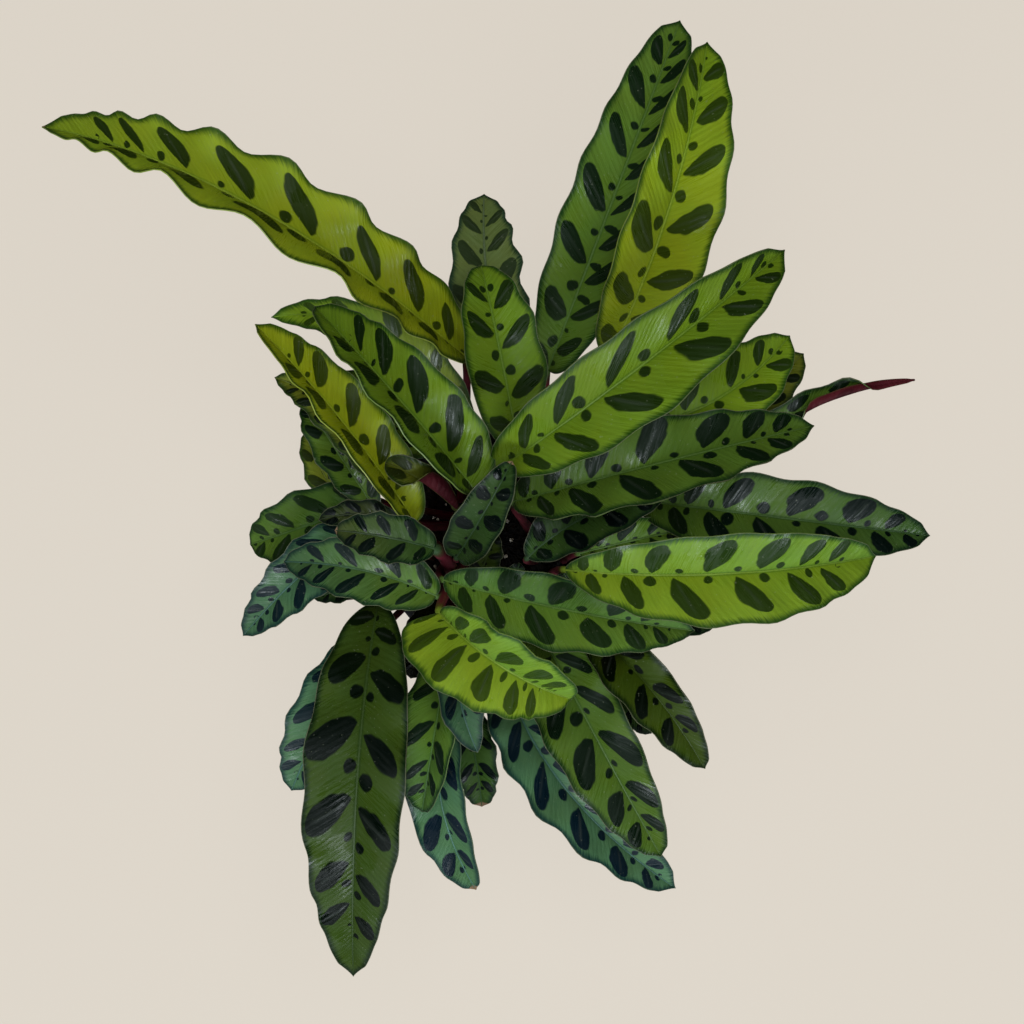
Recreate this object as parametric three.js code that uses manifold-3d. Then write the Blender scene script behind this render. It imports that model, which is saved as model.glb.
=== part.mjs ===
// Potted rattlesnake plant: long rippled leaves on thin stalks, soil and a plain nursery pot.
// Millimetres, +Z up. The origin is the middle of the pot's foot, which stands on the plane Z = 0.
import * as THREE from 'three';
import { mergeVertices } from 'three/addons/utils/BufferGeometryUtils.js';
import Module from 'manifold-3d';

const wasm = await Module();
wasm.setup();

// Pot: a tapered plastic cup with a turned-down rim, standing flat.
const POT_HEIGHT = 100;
const POT_TOP_RADIUS = 60;
const POT_FOOT_RADIUS = 43;
const POT_WALL = 1.6;
const POT_FLOOR = 2.4;
const POT_SIDES = 48;
const RIM_REACH = 3;
const RIM_SKIRT = 9;
const DRAIN_HOLES = 6;
const DRAIN_RADIUS = 5;
const DRAIN_RING = 27;
const DRAIN_SIDES = 16;

// Soil fills the pot to a finger's breadth below the rim. Pieces that touch keep a small gap.
const SOIL_TOP = 90;
const GAP = 0.3;
const GROUND_SIDE = 400;
const WELD_DISTANCE = 1e-4;

// Leaves: a thin folded blade on a round stalk. Lengths along a midrib run from 0 to 1.
const BLADE_THICKNESS = 1;
const BLADE_ENDS = 0.015;
const STALK_RADIUS = 1.9;
const STALK_SIDES = 6;
const STALK_STEPS = 6;
const STALK_REACH = 0.05;
const STALK_LEAD = 12;
const STALK_KINK = 1;
const STALK_BURIED = 4;
const RIPPLE_RISE = 1.6;

// The stalks leave the soil in four clumps, west, north, east and south, in rings round each middle.
const W = [-24, -14];
const N = [-13, 13];
const E = [27, -7];
const S = [24, -29];
const RING_SPACING = 5.6;

// One row for each leaf: its place, clump, ring, bearing of its root on the ring, then the base,
// middle and tip of its midrib, half width, fold of each half upwards, roll towards the right,
// belly (under 0.85 the leaf is widest near its base), fullness (a low value gives blunt ends),
// number of ripples and their height.
const LEAF_ROWS = [
  ['01_nw_long', N, 2, 125, [-15, 95, 225], [-113, 160, 300], [-213, 199, 285], 26, 40, 27, 0.7, 0.6, 7, 3],
  ['02_n_rear', N, 2, 70, [7, 71, 182], [-3, 127, 218], [-5, 177, 212], 19, 12, 0, 0.9, 0.5, 5, 2],
  ['03_n_front', N, 2, 40, [12, 50, 228], [2, 100, 265], [-6, 136, 262], 21, 25, 12, 0.8, 0.6, 5, 2],
  ['04_ne_rear', E, 2, 95, [27, 89, 205], [59, 171, 270], [90, 254, 262], 23, 25, 0, 0.88, 0.5, 6, 2],
  ['05_ne_front', E, 2, 72, [58, 96, 240], [82, 159, 310], [100, 236, 300], 26, 34, 14, 0.85, 0.6, 6, 2],
  ['06_ne_broad', E, 1, 120, [3, 38, 262], [68, 84, 318], [135, 138, 310], 26, 34, 11, 0.9, 0.6, 6, 2],
  ['07_e_behind', E, 2, 45, [66, 61, 205], [107, 71, 242], [146, 104, 236], 22, 20, 0, 1, 0.6, 5, 2],
  ['08_e_lowest', E, 3, 52, [85, 57, 170], [122, 71, 196], [158, 98, 194], 18, 20, 0, 1, 0.6, 5, 2],
  ['09_e_rolled', E, 3, 32, [116, 43, 206], [159, 71, 232], [210, 83, 220], 8, 30, 0, 0.85, 0.6, 5, 1.5],
  ['10_e_upper', E, 1, 60, [10, 22, 235], [78, 40, 268], [156, 59, 252], 23, 32, -10, 0.9, 0.6, 7, 2.5],
  ['11_e_dark', E, 2, 15, [74, 23, 192], [145, 14, 222], [221, 5, 203], 22, 25, 0, 0.85, 0.6, 6, 2],
  ['12_e_bright', S, 2, 62, [35, -11, 258], [107, -12, 290], [183, -4, 272], 26, 32, 13, 1.12, 0.6, 6, 1.5],
  ['13_e_hidden', S, 2, 338, [51, -33, 185], [79, -34, 206], [113, -40, 202], 14, 20, 0, 0.9, 0.6, 4, 1.5],
  ['14_ese', W, 1, 180, [-25, -17, 220], [36, -31, 242], [100, -42, 226], 22, 33, 12, 0.9, 0.7, 6, 2],
  ['15_se_broad', N, 2, 300, [-26, -32, 255], [3, -56, 272], [38, -74, 254], 28, 38, 20, 0.82, 0.6, 5, 2],
  ['16_s_long', W, 2, 205, [-59, -30, 205], [-68, -119, 228], [-74, -226, 165], 28, 25, 5, 0.9, 0.5, 7, 2.5],
  ['17_sw_behind', W, 3, 215, [-59, -45, 182], [-84, -85, 202], [-105, -127, 180], 19, 15, 0, 0.9, 0.6, 5, 2],
  ['18_s_mid', W, 2, 250, [-23, -53, 190], [-30, -95, 212], [-37, -136, 195], 18, 38, 18, 0.9, 0.6, 5, 1.5],
  ['19_s_low', W, 3, 275, [-24, -81, 168], [-28, -128, 186], [-10, -183, 150], 19, 38, 12, 0.9, 0.6, 5, 2],
  ['20_s_small', W, 1, 259, [-21, -52, 220], [-16, -79, 232], [-8, -103, 222], 12, 30, 0, 0.85, 0.85, 4, 1],
  ['21_s_blunt', W, 3, 300, [-19, -77, 148], [-11, -108, 162], [-7, -139, 150], 12, 20, 0, 1.1, 0.5, 4, 1],
  ['22_se_large', S, 1, 300, [21, -39, 182], [51, -96, 198], [87, -163, 168], 26, 33, 11, 0.85, 0.6, 6, 2],
  ['23_se_lower', S, 2, 240, [3, -60, 160], [34, -123, 174], [96, -183, 145], 22, 28, -5, 0.85, 0.52, 6, 2],
  ['24_se_right', S, 2, 305, [49, -44, 200], [78, -71, 228], [106, -112, 214], 17, 33, 10, 0.85, 0.6, 5, 1.5],
  ['25_se_sliver', S, 2, 280, [50, -65, 158], [66, -81, 170], [82, -99, 164], 10, 20, 0, 0.85, 0.6, 4, 1],
  ['26_nw_main', N, 1, 60, [-10, 29, 258], [-45, 71, 290], [-85, 115, 276], 26, 46, 25, 0.8, 0.6, 6, 2],
  ['27_nw_rear', N, 2, 97, [-12, 58, 210], [-54, 104, 236], [-111, 114, 224], 13, 20, 0, 0.8, 0.6, 5, 1.5],
  ['28_w_olive', N, 1, 220, [-40, 12, 208], [-75, 62, 238], [-118, 110, 232], 20.5, 46, 27, 0.85, 0.6, 6, 2],
  ['29_w_behind', N, 2, 172, [-51, 25, 200], [-79, 65, 213], [-111, 85, 207], 11, 18, 0, 0.85, 0.6, 5, 1.5],
  ['30_w_dark', N, 2, 200, [-61, 18, 182], [-82, 51, 197], [-97, 74, 192], 12, 18, 0, 0.85, 0.6, 4, 1],
  ['31_w_lowest', N, 3, 190, [-77, 15, 150], [-89, 36, 163], [-100, 59, 158], 10, 18, 0, 0.85, 0.6, 4, 1],
  ['32_w_long', W, 2, 120, [-62, 23, 166], [-97, 10, 182], [-128, 0, 165], 19, 18, 0, 0.9, 0.6, 5, 1.5],
  ['33_w_narrow', W, 1, 120, [-50, 12, 198], [-68, 16, 207], [-89, 13, 204], 8, 20, 0, 0.85, 0.6, 4, 1],
  ['34_w_small', W, 2, 288, [-29, -1, 240], [-53, 5, 250], [-78, 8, 240], 12.5, 18, 0, 0.85, 0.6, 5, 1.5],
  ['35_w_front', W, 1, 220, [-29, -25, 218], [-64, -12, 230], [-106, -8, 212], 17, 22, 0, 0.85, 0.6, 6, 1.5],
  ['36_wsw', W, 2, 150, [-69, 7, 191], [-97, -14, 204], [-130, -47, 180], 16, 22, 0, 0.8, 0.6, 5, 2],
  ['37_sw_low', W, 3, 180, [-53, -14, 160], [-73, -21, 172], [-95, -28, 166], 8, 20, 0, 0.85, 0.6, 4, 1],
  ['38_crown', W, 1, 60, [-18, -5, 240], [-3, 19, 278], [9, 41, 288], 14, 35, 0, 0.75, 0.6, 4, 1],
  ['39_curled', N, 1, 160, [-19, 19, 222], [-36, 33, 250], [-53, 41, 247], 10, 30, 0, 0.9, 0.6, 3, 1],
  ['40_e_near', E, 1, 210, [17, -6, 200], [48, 16, 225], [87, 28, 222], 16, 25, 0, 1, 0.6, 5, 1.5],
  ['41_e_small', E, 2, 345, [44, -4, 186], [72, 3, 200], [97, 8, 190], 10, 20, 0, 0.85, 0.6, 4, 1],
  ['42_low_n', W, 2, 0, [-9, -19, 135], [-4, -6, 150], [1, 6, 158], 9, 20, 0, 0.85, 0.6, 3, 1],
  ['43_low_e', S, 2, 175, [9, -25, 132], [11, -17, 142], [13, -10, 146], 7, 20, 0, 0.85, 0.6, 3, 1],
  ['44_low_sw', W, 3, 245, [-32, -30, 160], [-38, -50, 172], [-44, -70, 166], 10, 20, 0, 0.85, 0.6, 4, 1],
  ['45_low_s', S, 2, 220, [15, -41, 150], [21, -55, 163], [28, -67, 160], 7, 20, 0, 0.85, 0.6, 3, 1],
  ['46_nw_under', N, 2, 148, [-33, 48, 192], [-55, 66, 203], [-76, 89, 199], 13, 20, 0, 0.85, 0.6, 4, 1],
  ['47_low_se', S, 2, 20, [36, -27, 132], [38, -20, 139], [40, -13, 142], 7, 20, 0, 0.85, 0.6, 3, 1],
];

const LEAF_GREENS = [0x6f9a35, 0x4f7d34, 0x8aa83a, 0x5f8f4a];

const radians = THREE.MathUtils.degToRad;
const UP = new THREE.Vector3(0, 0, 1);

function leafFrom(row) {
  const [place, [clumpX, clumpY], ring, bearing, base, middle, tip, ...shape] = row;
  const [half, fold, roll, belly, fullness, ripples, ripple] = shape;
  const name = `leaf_${place}`;
  const angle = radians(bearing);
  const root = new THREE.Vector3(
    clumpX + ring * RING_SPACING * Math.cos(angle),
    clumpY + ring * RING_SPACING * Math.sin(angle),
    SOIL_TOP - STALK_BURIED,
  );
  const start = new THREE.Vector3(...base);
  const end = new THREE.Vector3(...tip);
  const chordMiddle = start.clone().lerp(end, 0.5);
  const bend = new THREE.Vector3(...middle).multiplyScalar(2).sub(chordMiddle);
  const midrib = new THREE.QuadraticBezierCurve3(start, bend, end);
  return { name, root, midrib, half, fold, roll, belly, fullness, ripples, ripple };
}

// The midrib's forward, left and up directions at t, from 0 at the base to 1 at the tip.
function bladeFrame(leaf, t) {
  const forward = leaf.midrib.getTangent(t);
  const left = UP.clone().cross(forward).normalize();
  const up = forward.clone().cross(left);
  return { left, up };
}

function bladeHalfWidth(leaf, t) {
  return leaf.half * Math.sin(Math.PI * t ** leaf.belly) ** leaf.fullness;
}

// A point of the blade's middle surface. v runs from -1 at the right margin to 1 at the left one.
function bladePoint(leaf, t, v) {
  const { left, up } = bladeFrame(leaf, t);
  const side = Math.sign(v);
  const reach = Math.abs(v) * bladeHalfWidth(leaf, t);
  const rise = radians(leaf.fold + side * leaf.roll);
  const crest = side * Math.cos(2 * Math.PI * leaf.ripples * t);
  const lift = leaf.ripple * crest * Math.abs(v) ** RIPPLE_RISE * Math.sin(Math.PI * t);
  const across = side * (reach * Math.cos(rise) - lift * Math.sin(rise));
  const height = reach * Math.sin(rise) + lift * Math.cos(rise);
  return leaf.midrib.getPoint(t).addScaledVector(left, across).addScaledVector(up, height);
}

// The way out of the upper face. At the midrib, where both halves meet, it is longer than 1, so
// that the slab is as thick there as on either side.
function bladeNormal(leaf, t, v) {
  const { left, up } = bladeFrame(leaf, t);
  const sides = v === 0 ? [-1, 1] : [Math.sign(v)];
  const normal = new THREE.Vector3();
  for (const side of sides) {
    const rise = radians(leaf.fold + side * leaf.roll);
    normal.addScaledVector(up, Math.cos(rise)).addScaledVector(left, -side * Math.sin(rise));
  }
  if (v === 0) normal.divideScalar(1 + Math.cos(radians(2 * leaf.fold)));
  return normal;
}

// The blade as a closed slab: a row of three points at each crest and trough of the ripples.
function bladeGeometry(leaf) {
  const rows = 2 * leaf.ripples;
  const positions = [];
  const index = [];
  for (const face of [1, -1]) {
    for (let row = 0; row <= rows; row += 1) {
      const t = THREE.MathUtils.lerp(BLADE_ENDS, 1 - BLADE_ENDS, row / rows);
      for (const v of [-1, 0, 1]) {
        const away = bladeNormal(leaf, t, v).multiplyScalar((face * BLADE_THICKNESS) / 2);
        const point = bladePoint(leaf, t, v).add(away);
        positions.push(point.x, point.y, point.z);
      }
    }
  }
  const under = 3 * (rows + 1);
  const quad = (a, b, c, d) => index.push(a, c, b, a, d, c);
  for (let row = 0; row < rows; row += 1) {
    const near = 3 * row;
    const far = near + 3;
    for (const column of [0, 1]) {
      const below = under + column;
      quad(near + column, near + column + 1, far + column + 1, far + column);
      quad(near + below, far + below, far + below + 1, near + below + 1);
    }
    quad(near, far, under + far, under + near);
    quad(near + 2, under + near + 2, under + far + 2, far + 2);
  }
  const last = 3 * rows;
  for (const column of [0, 1]) {
    const below = under + column;
    quad(column, below, below + 1, column + 1);
    quad(last + column, last + column + 1, last + below + 1, last + below);
  }
  const geometry = new THREE.BufferGeometry();
  geometry.setAttribute('position', new THREE.Float32BufferAttribute(positions, 3));
  geometry.setIndex(index);
  return geometry;
}

// The stalk rises from the root to the blade, where it kinks and ends a little way along the midrib.
function stalkGeometry(leaf) {
  const start = leaf.midrib.getPoint(0);
  const arrival = leaf.midrib.getTangent(0).addScaledVector(UP, STALK_KINK).normalize();
  const lead = start.clone().addScaledVector(arrival, -STALK_LEAD);
  const end = leaf.midrib.getPoint(STALK_REACH);
  const path = new THREE.CurvePath();
  path.add(new THREE.QuadraticBezierCurve3(leaf.root, lead, start));
  path.add(new THREE.LineCurve3(start, end));
  const section = new THREE.Shape();
  for (let side = 0; side < STALK_SIDES; side += 1) {
    const angle = (2 * Math.PI * side) / STALK_SIDES;
    const x = STALK_RADIUS * Math.cos(angle);
    const y = STALK_RADIUS * Math.sin(angle);
    if (side === 0) section.moveTo(x, y);
    else section.lineTo(x, y);
  }
  return new THREE.ExtrudeGeometry(section, { steps: STALK_STEPS, extrudePath: path });
}

function solidFrom(geometry) {
  const bare = geometry.clone();
  bare.deleteAttribute('normal');
  bare.deleteAttribute('uv');
  const merged = mergeVertices(bare, WELD_DISTANCE);
  return new wasm.Manifold(new wasm.Mesh({
    numProp: 3,
    vertProperties: merged.attributes.position.array,
    triVerts: new Uint32Array(merged.index.array),
  }));
}

function geometryFrom(solid) {
  const mesh = solid.getMesh();
  const geometry = new THREE.BufferGeometry();
  geometry.setAttribute('position', new THREE.BufferAttribute(mesh.vertProperties, 3));
  geometry.setIndex(new THREE.BufferAttribute(mesh.triVerts, 1));
  geometry.computeVertexNormals();
  return geometry;
}

// Everything up to just above the soil, which the stalks are cut off flat against.
const groundBlock = new THREE.BoxGeometry(GROUND_SIDE, GROUND_SIDE, SOIL_TOP);
groundBlock.translate(0, 0, SOIL_TOP / 2 + GAP);
const ground = solidFrom(groundBlock);

function leafMesh(leaf, order) {
  const whole = solidFrom(bladeGeometry(leaf)).add(solidFrom(stalkGeometry(leaf)));
  const solid = whole.subtract(ground);
  const material = new THREE.MeshStandardMaterial({
    color: LEAF_GREENS[order % LEAF_GREENS.length],
    roughness: 0.45,
    metalness: 0,
  });
  const mesh = new THREE.Mesh(geometryFrom(solid), material);
  mesh.name = leaf.name;
  return mesh;
}

// The inside of the pot at height z.
function potInnerRadius(z) {
  return THREE.MathUtils.lerp(POT_FOOT_RADIUS, POT_TOP_RADIUS, z / POT_HEIGHT) - POT_WALL;
}

function potMesh() {
  const profile = [
    [0, 0],
    [POT_FOOT_RADIUS, 0],
    [POT_TOP_RADIUS - POT_WALL, POT_HEIGHT - RIM_SKIRT],
    [POT_TOP_RADIUS + RIM_REACH, POT_HEIGHT - RIM_SKIRT],
    [POT_TOP_RADIUS + RIM_REACH, POT_HEIGHT],
    [POT_TOP_RADIUS - POT_WALL, POT_HEIGHT],
    [potInnerRadius(POT_FLOOR), POT_FLOOR],
    [0, POT_FLOOR],
  ].map(([radius, z]) => new THREE.Vector2(radius, z));
  const cup = new THREE.LatheGeometry(profile, POT_SIDES).rotateX(Math.PI / 2);
  let solid = solidFrom(cup);
  for (let hole = 0; hole < DRAIN_HOLES; hole += 1) {
    const angle = (2 * Math.PI * hole) / DRAIN_HOLES;
    const drill = new THREE.CylinderGeometry(DRAIN_RADIUS, DRAIN_RADIUS, 4 * POT_FLOOR, DRAIN_SIDES);
    drill.rotateX(Math.PI / 2);
    drill.translate(DRAIN_RING * Math.cos(angle), DRAIN_RING * Math.sin(angle), 0);
    solid = solid.subtract(solidFrom(drill));
  }
  const material = new THREE.MeshStandardMaterial({ color: 0x1d1e1f, roughness: 0.55, metalness: 0 });
  const mesh = new THREE.Mesh(geometryFrom(solid), material);
  mesh.name = 'pot';
  return mesh;
}

function soilMesh() {
  const bottom = POT_FLOOR + GAP;
  const profile = [
    [0, bottom],
    [potInnerRadius(bottom) - GAP, bottom],
    [potInnerRadius(SOIL_TOP) - GAP, SOIL_TOP],
    [0, SOIL_TOP],
  ].map(([radius, z]) => new THREE.Vector2(radius, z));
  const geometry = new THREE.LatheGeometry(profile, POT_SIDES).rotateX(Math.PI / 2);
  const material = new THREE.MeshStandardMaterial({ color: 0x17130f, roughness: 0.95, metalness: 0 });
  const mesh = new THREE.Mesh(geometryFrom(solidFrom(geometry)), material);
  mesh.name = 'soil';
  return mesh;
}

const plant = new THREE.Group();
plant.add(potMesh(), soilMesh(), ...LEAF_ROWS.map(leafFrom).map(leafMesh));

export default plant;
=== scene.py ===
# %% [markdown]
# A potted rattlesnake plant, seen from straight above
#
# The frame holds the plant at its real size: a pot, a block of soil and 47 leaves, each a plain
# folded blade on a stalk. This lesson keeps every piece where the frame has it and gives it the
# surface of the living thing: rippled blades with dark marks, veins and a pale margin, maroon
# stalks, crumbly soil with white grains, and a thin black pot. All sizes are in millimetres and
# are turned into metres only when a mesh is written.

# %% Load the frame
import math

import bpy
import numpy as np
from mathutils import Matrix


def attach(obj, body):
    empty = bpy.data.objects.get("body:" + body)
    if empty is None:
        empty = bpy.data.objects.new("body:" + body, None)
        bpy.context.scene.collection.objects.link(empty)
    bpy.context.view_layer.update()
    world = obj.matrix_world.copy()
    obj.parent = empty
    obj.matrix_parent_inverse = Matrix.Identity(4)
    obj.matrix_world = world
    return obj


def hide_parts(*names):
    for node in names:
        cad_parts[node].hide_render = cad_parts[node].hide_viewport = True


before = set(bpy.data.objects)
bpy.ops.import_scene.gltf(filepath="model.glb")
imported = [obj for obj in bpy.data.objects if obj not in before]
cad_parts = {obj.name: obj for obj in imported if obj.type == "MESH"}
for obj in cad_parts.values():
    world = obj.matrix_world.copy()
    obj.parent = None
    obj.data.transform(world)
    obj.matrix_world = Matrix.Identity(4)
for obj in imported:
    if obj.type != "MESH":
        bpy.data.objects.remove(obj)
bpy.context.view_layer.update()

MM = 0.001

# %% [markdown]
# The camera hangs above the middle of the plant and looks straight down. Leaves near it look
# larger than the low ones, as they do in a picture taken from arm's length, so a long lens at
# 1.4 metres is used rather than a flat orthographic view, which would make all leaves one scale.

# %% Camera
CAMERA_PLACE = (9, 17, 1400)
LENS = 83


def new_object(name, data):
    piece = bpy.data.objects.new(name, data)
    bpy.context.scene.collection.objects.link(piece)
    return piece


camera_data = bpy.data.cameras.new("camera")
camera_data.lens = LENS
camera_data.sensor_width = 36
camera_data.clip_start = 0.02
camera = new_object("camera", camera_data)
camera.location = [c * MM for c in CAMERA_PLACE]
bpy.context.scene.camera = camera
bpy.context.scene.view_settings.view_transform = "Standard"
print("camera", round(camera.location.z, 3), "m above the floor")

# %% [markdown]
# A shader is a chain of small nodes. These helpers add one node each and return its output, so a
# material reads like a few lines of arithmetic. A value may be a number, a colour or the output of
# another node.

# %% Node helpers


def put(tree, socket, value):
    if isinstance(value, bpy.types.NodeSocket):
        tree.links.new(value, socket)
    elif isinstance(value, (tuple, list)) and len(socket.default_value) == 4 and len(value) == 3:
        socket.default_value = (*value, 1)
    else:
        socket.default_value = value


def new_node(tree, kind, *values, **settings):
    """Adds a node, sets it up and feeds its first inputs."""
    node = tree.nodes.new("ShaderNode" + kind)
    for name, setting in settings.items():
        setattr(node, name, setting)
    for socket, value in zip(node.inputs, values):
        put(tree, socket, value)
    return node


def calc(tree, operation, *values):
    return new_node(tree, "Math", *values, operation=operation).outputs[0]


def plus(tree, first, second):
    return calc(tree, "ADD", first, second)


def minus(tree, first, second):
    return calc(tree, "SUBTRACT", first, second)


def times(tree, first, second):
    return calc(tree, "MULTIPLY", first, second)


def times_plus(tree, value, factor, added):
    return calc(tree, "MULTIPLY_ADD", value, factor, added)


def spread(tree, share, width):
    """Turns 0 to 1 into half of width below and above nought."""
    return times_plus(tree, share, width, -width / 2)


def ramp(tree, value, low, high, out_low=0.0, out_high=1.0):
    """Goes smoothly from out_low at low to out_high at high."""
    values = (value, low, high, out_low, out_high)
    return new_node(tree, "MapRange", *values, interpolation_type="SMOOTHSTEP").outputs[0]


def blend(tree, factor, first, second, kind="MIX"):
    node = new_node(tree, "Mix", data_type="RGBA", blend_type=kind)
    put(tree, node.inputs["Factor"], factor)
    put(tree, node.inputs["A"], first)
    put(tree, node.inputs["B"], second)
    return node.outputs["Result"]


def tinted(tree, colour, by):
    """One colour multiplied by another."""
    return blend(tree, 1.0, colour, by, "MULTIPLY")


def noise(tree, vector, scale, detail=2.0):
    node = new_node(tree, "TexNoise")
    put(tree, node.inputs["Vector"], vector)
    node.inputs["Scale"].default_value = scale
    node.inputs["Detail"].default_value = detail
    return node.outputs["Fac"]


def combine(tree, x, y, z=0.0):
    return new_node(tree, "CombineXYZ", x, y, z).outputs[0]


def split(tree, vector):
    return tuple(new_node(tree, "SeparateXYZ", vector).outputs)


def object_place(tree):
    return new_node(tree, "TexCoord").outputs["Object"]


def camera_ray(tree):
    """1 for what the camera sees directly, and 0 for the light that goes on from it."""
    return new_node(tree, "LightPath").outputs["Is Camera Ray"]


def uv_map(tree, name):
    return new_node(tree, "UVMap", uv_map=name).outputs[0]


def attribute(tree, name, output="Fac"):
    return new_node(tree, "Attribute", attribute_name=name).outputs[output]


def bump(tree, height, distance, strength=1.0):
    node = new_node(tree, "Bump")
    node.inputs["Strength"].default_value = strength
    node.inputs["Distance"].default_value = distance
    put(tree, node.inputs["Height"], height)
    return node.outputs[0]


def new_group(name, inputs, outputs):
    group = bpy.data.node_groups.new(name, "ShaderNodeTree")
    for title, kind in inputs:
        group.interface.new_socket(name=title, in_out="INPUT", socket_type=kind)
    for title, kind in outputs:
        group.interface.new_socket(name=title, in_out="OUTPUT", socket_type=kind)
    start = group.nodes.new("NodeGroupInput")
    end = group.nodes.new("NodeGroupOutput")
    return group, start.outputs, end.inputs


def use_group(tree, group, **values):
    node = new_node(tree, "Group", node_tree=group)
    for title, value in values.items():
        put(tree, node.inputs[title], value)
    return node.outputs


def new_material(name, roughness=0.5, specular=0.5):
    material = bpy.data.materials.new(name)
    material.use_nodes = True
    shader = material.node_tree.nodes["Principled BSDF"]
    shader.inputs["Roughness"].default_value = roughness
    shader.inputs["Specular IOR Level"].default_value = specular
    return material, material.node_tree, shader.inputs


print("node helpers ready")

# %% [markdown]
# The marks are the plant's signature. On each side of the midrib large oval marks lean towards the
# tip, pointed at the midrib and round near the margin, and small ones sit between their roots.
# Painting them would need a picture for each leaf. Here every blade carries a map called marks,
# where U counts the marks along one side, 0, 1, 2, and V runs from -1 to 1 across the blade. One
# group then draws all of them: how far a point is from the nearest whole U, against an oval
# outline in V. Random numbers from the count make every mark a little different.

# %% Marks group
MARK_ROOT = 0.05
MARK_SOFT = 0.02
MARK_SHIFT = 0.10
MARK_REACH_SPREAD = 0.12
MARK_BLUNT, MARK_WOBBLE = 0.74, 0.12
SMALL_ROOT = 0.035
SMALL_WIDTH = 0.10
SMALL_SHIFT = 0.2
SMALL_BLUNT, SMALL_WOBBLE = 0.45, 0.10
ROUND_END = 0.42
OVAL_FULLNESS = 2.05
WOBBLE_SCALE = 3.5
BEND_LEAST, BEND_SPREAD, BEND_FREE = -0.12, 0.5, 0.45
ROOT_SPREAD = 0.05
WIDE_LEAST, WIDE_SPREAD = 0.85, 0.3
TILT_FREE = 0.12
SMALL_LEAST, SMALL_SPREAD, SMALL_EXTRA = 0.35, 0.75, 0.08
THIN_LEAST, THIN_SPREAD = 0.75, 0.5
STREAK_WIDTH = 0.06


def marks_group():
    group, given, made = new_group(
        "leaf_marks",
        [("Map", "NodeSocketVector"), ("Look", "NodeSocketVector"), ("Tilt", "NodeSocketFloat")],
        [("Mask", "NodeSocketFloat"), ("Streak", "NodeSocketFloat")],
    )
    t = group
    along, across, _ = split(t, given["Map"])
    small_reach, wide, extent = split(t, given["Look"])
    side = calc(t, "SIGN", across)
    reach = calc(t, "ABSOLUTE", across)
    wobble = minus(t, noise(t, combine(t, along, across), WOBBLE_SCALE, 1), 0.5)

    def oval(offset, root, end, width, blunt, uneven):
        """How far inside an oval a point is; offset is its distance from the middle line along U."""
        x = calc(t, "DIVIDE", minus(t, reach, root), minus(t, end, root))
        x = calc(t, "MINIMUM", calc(t, "MAXIMUM", x, 0), 1)
        grow = calc(t, "POWER", x, blunt)
        close = calc(t, "POWER", minus(t, 1, x), ROUND_END)
        half = times(t, times(t, grow, close), times(t, width, OVAL_FULLNESS))
        away = calc(t, "ABSOLUTE", times_plus(t, wobble, uneven, offset))
        return minus(t, half, away), x

    def dice(count):
        node = new_node(t, "TexWhiteNoise", noise_dimensions="2D")
        put(t, node.inputs["Vector"], combine(t, count, side))
        return split(t, node.outputs["Color"])

    count = calc(t, "ROUND", along)
    first, second, third = dice(count)
    offset = plus(t, minus(t, along, count), spread(t, first, MARK_SHIFT))
    bend = times(t, times_plus(t, third, BEND_SPREAD, BEND_LEAST), minus(t, reach, BEND_FREE))
    offset = plus(t, offset, times(t, bend, calc(t, "ABSOLUTE", bend)))
    root = times_plus(t, second, ROOT_SPREAD, MARK_ROOT)
    end = plus(t, extent, spread(t, third, MARK_REACH_SPREAD))
    width = times(t, wide, times_plus(t, second, WIDE_SPREAD, WIDE_LEAST))
    big, along_mark = oval(offset, root, end, width, MARK_BLUNT, MARK_WOBBLE)

    between = plus(t, calc(t, "FLOOR", along), 0.5)
    one, two, _ = dice(between)
    gap = minus(t, minus(t, along, between), spread(t, one, SMALL_SHIFT))
    gap = times_plus(t, minus(t, reach, TILT_FREE), given["Tilt"], gap)
    small_end = times(t, times_plus(t, two, SMALL_SPREAD, SMALL_LEAST), small_reach)
    small_end = plus(t, small_end, SMALL_EXTRA)
    small_width = times(t, times_plus(t, two, THIN_SPREAD, THIN_LEAST), SMALL_WIDTH)
    small, _ = oval(gap, SMALL_ROOT, small_end, small_width, SMALL_BLUNT, SMALL_WOBBLE)

    deepest = calc(t, "MAXIMUM", big, small)
    put(t, made["Mask"], ramp(t, deepest, 0.0, 2 * MARK_SOFT))
    line = ramp(t, calc(t, "ABSOLUTE", offset), 0.0, STREAK_WIDTH, 1.0, 0.0)
    middle = times(t, ramp(t, along_mark, 0.05, 0.3), ramp(t, along_mark, 0.7, 0.95, 1.0, 0.0))
    put(t, made["Streak"], times(t, times(t, line, middle), first))
    return group


MARKS = marks_group()
print("marks group:", len(MARKS.nodes), "nodes")

# %% [markdown]
# Fine side veins leave the midrib and lean towards the tip, a few millimetres apart, with still
# finer streaks between them. A wave texture would run straight across the blade, so the blades
# carry a second map, veins: U grows along the blade and is already slanted, V is the distance
# from the midrib in millimetres. Lines of equal U are then the veins.

# %% Veins group
VEIN_SPACING = 3.4
VEIN_SWAY, SWAY_STRETCH, SWAY_SCALE = 2.2, 0.15, 0.35
VEIN_WIDTH, VEIN_ARCH, GRAIN_RELIEF = 0.12, 1.2, 0.5
GRAIN_ALONG, GRAIN_ACROSS = 1.3, 0.10


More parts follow.
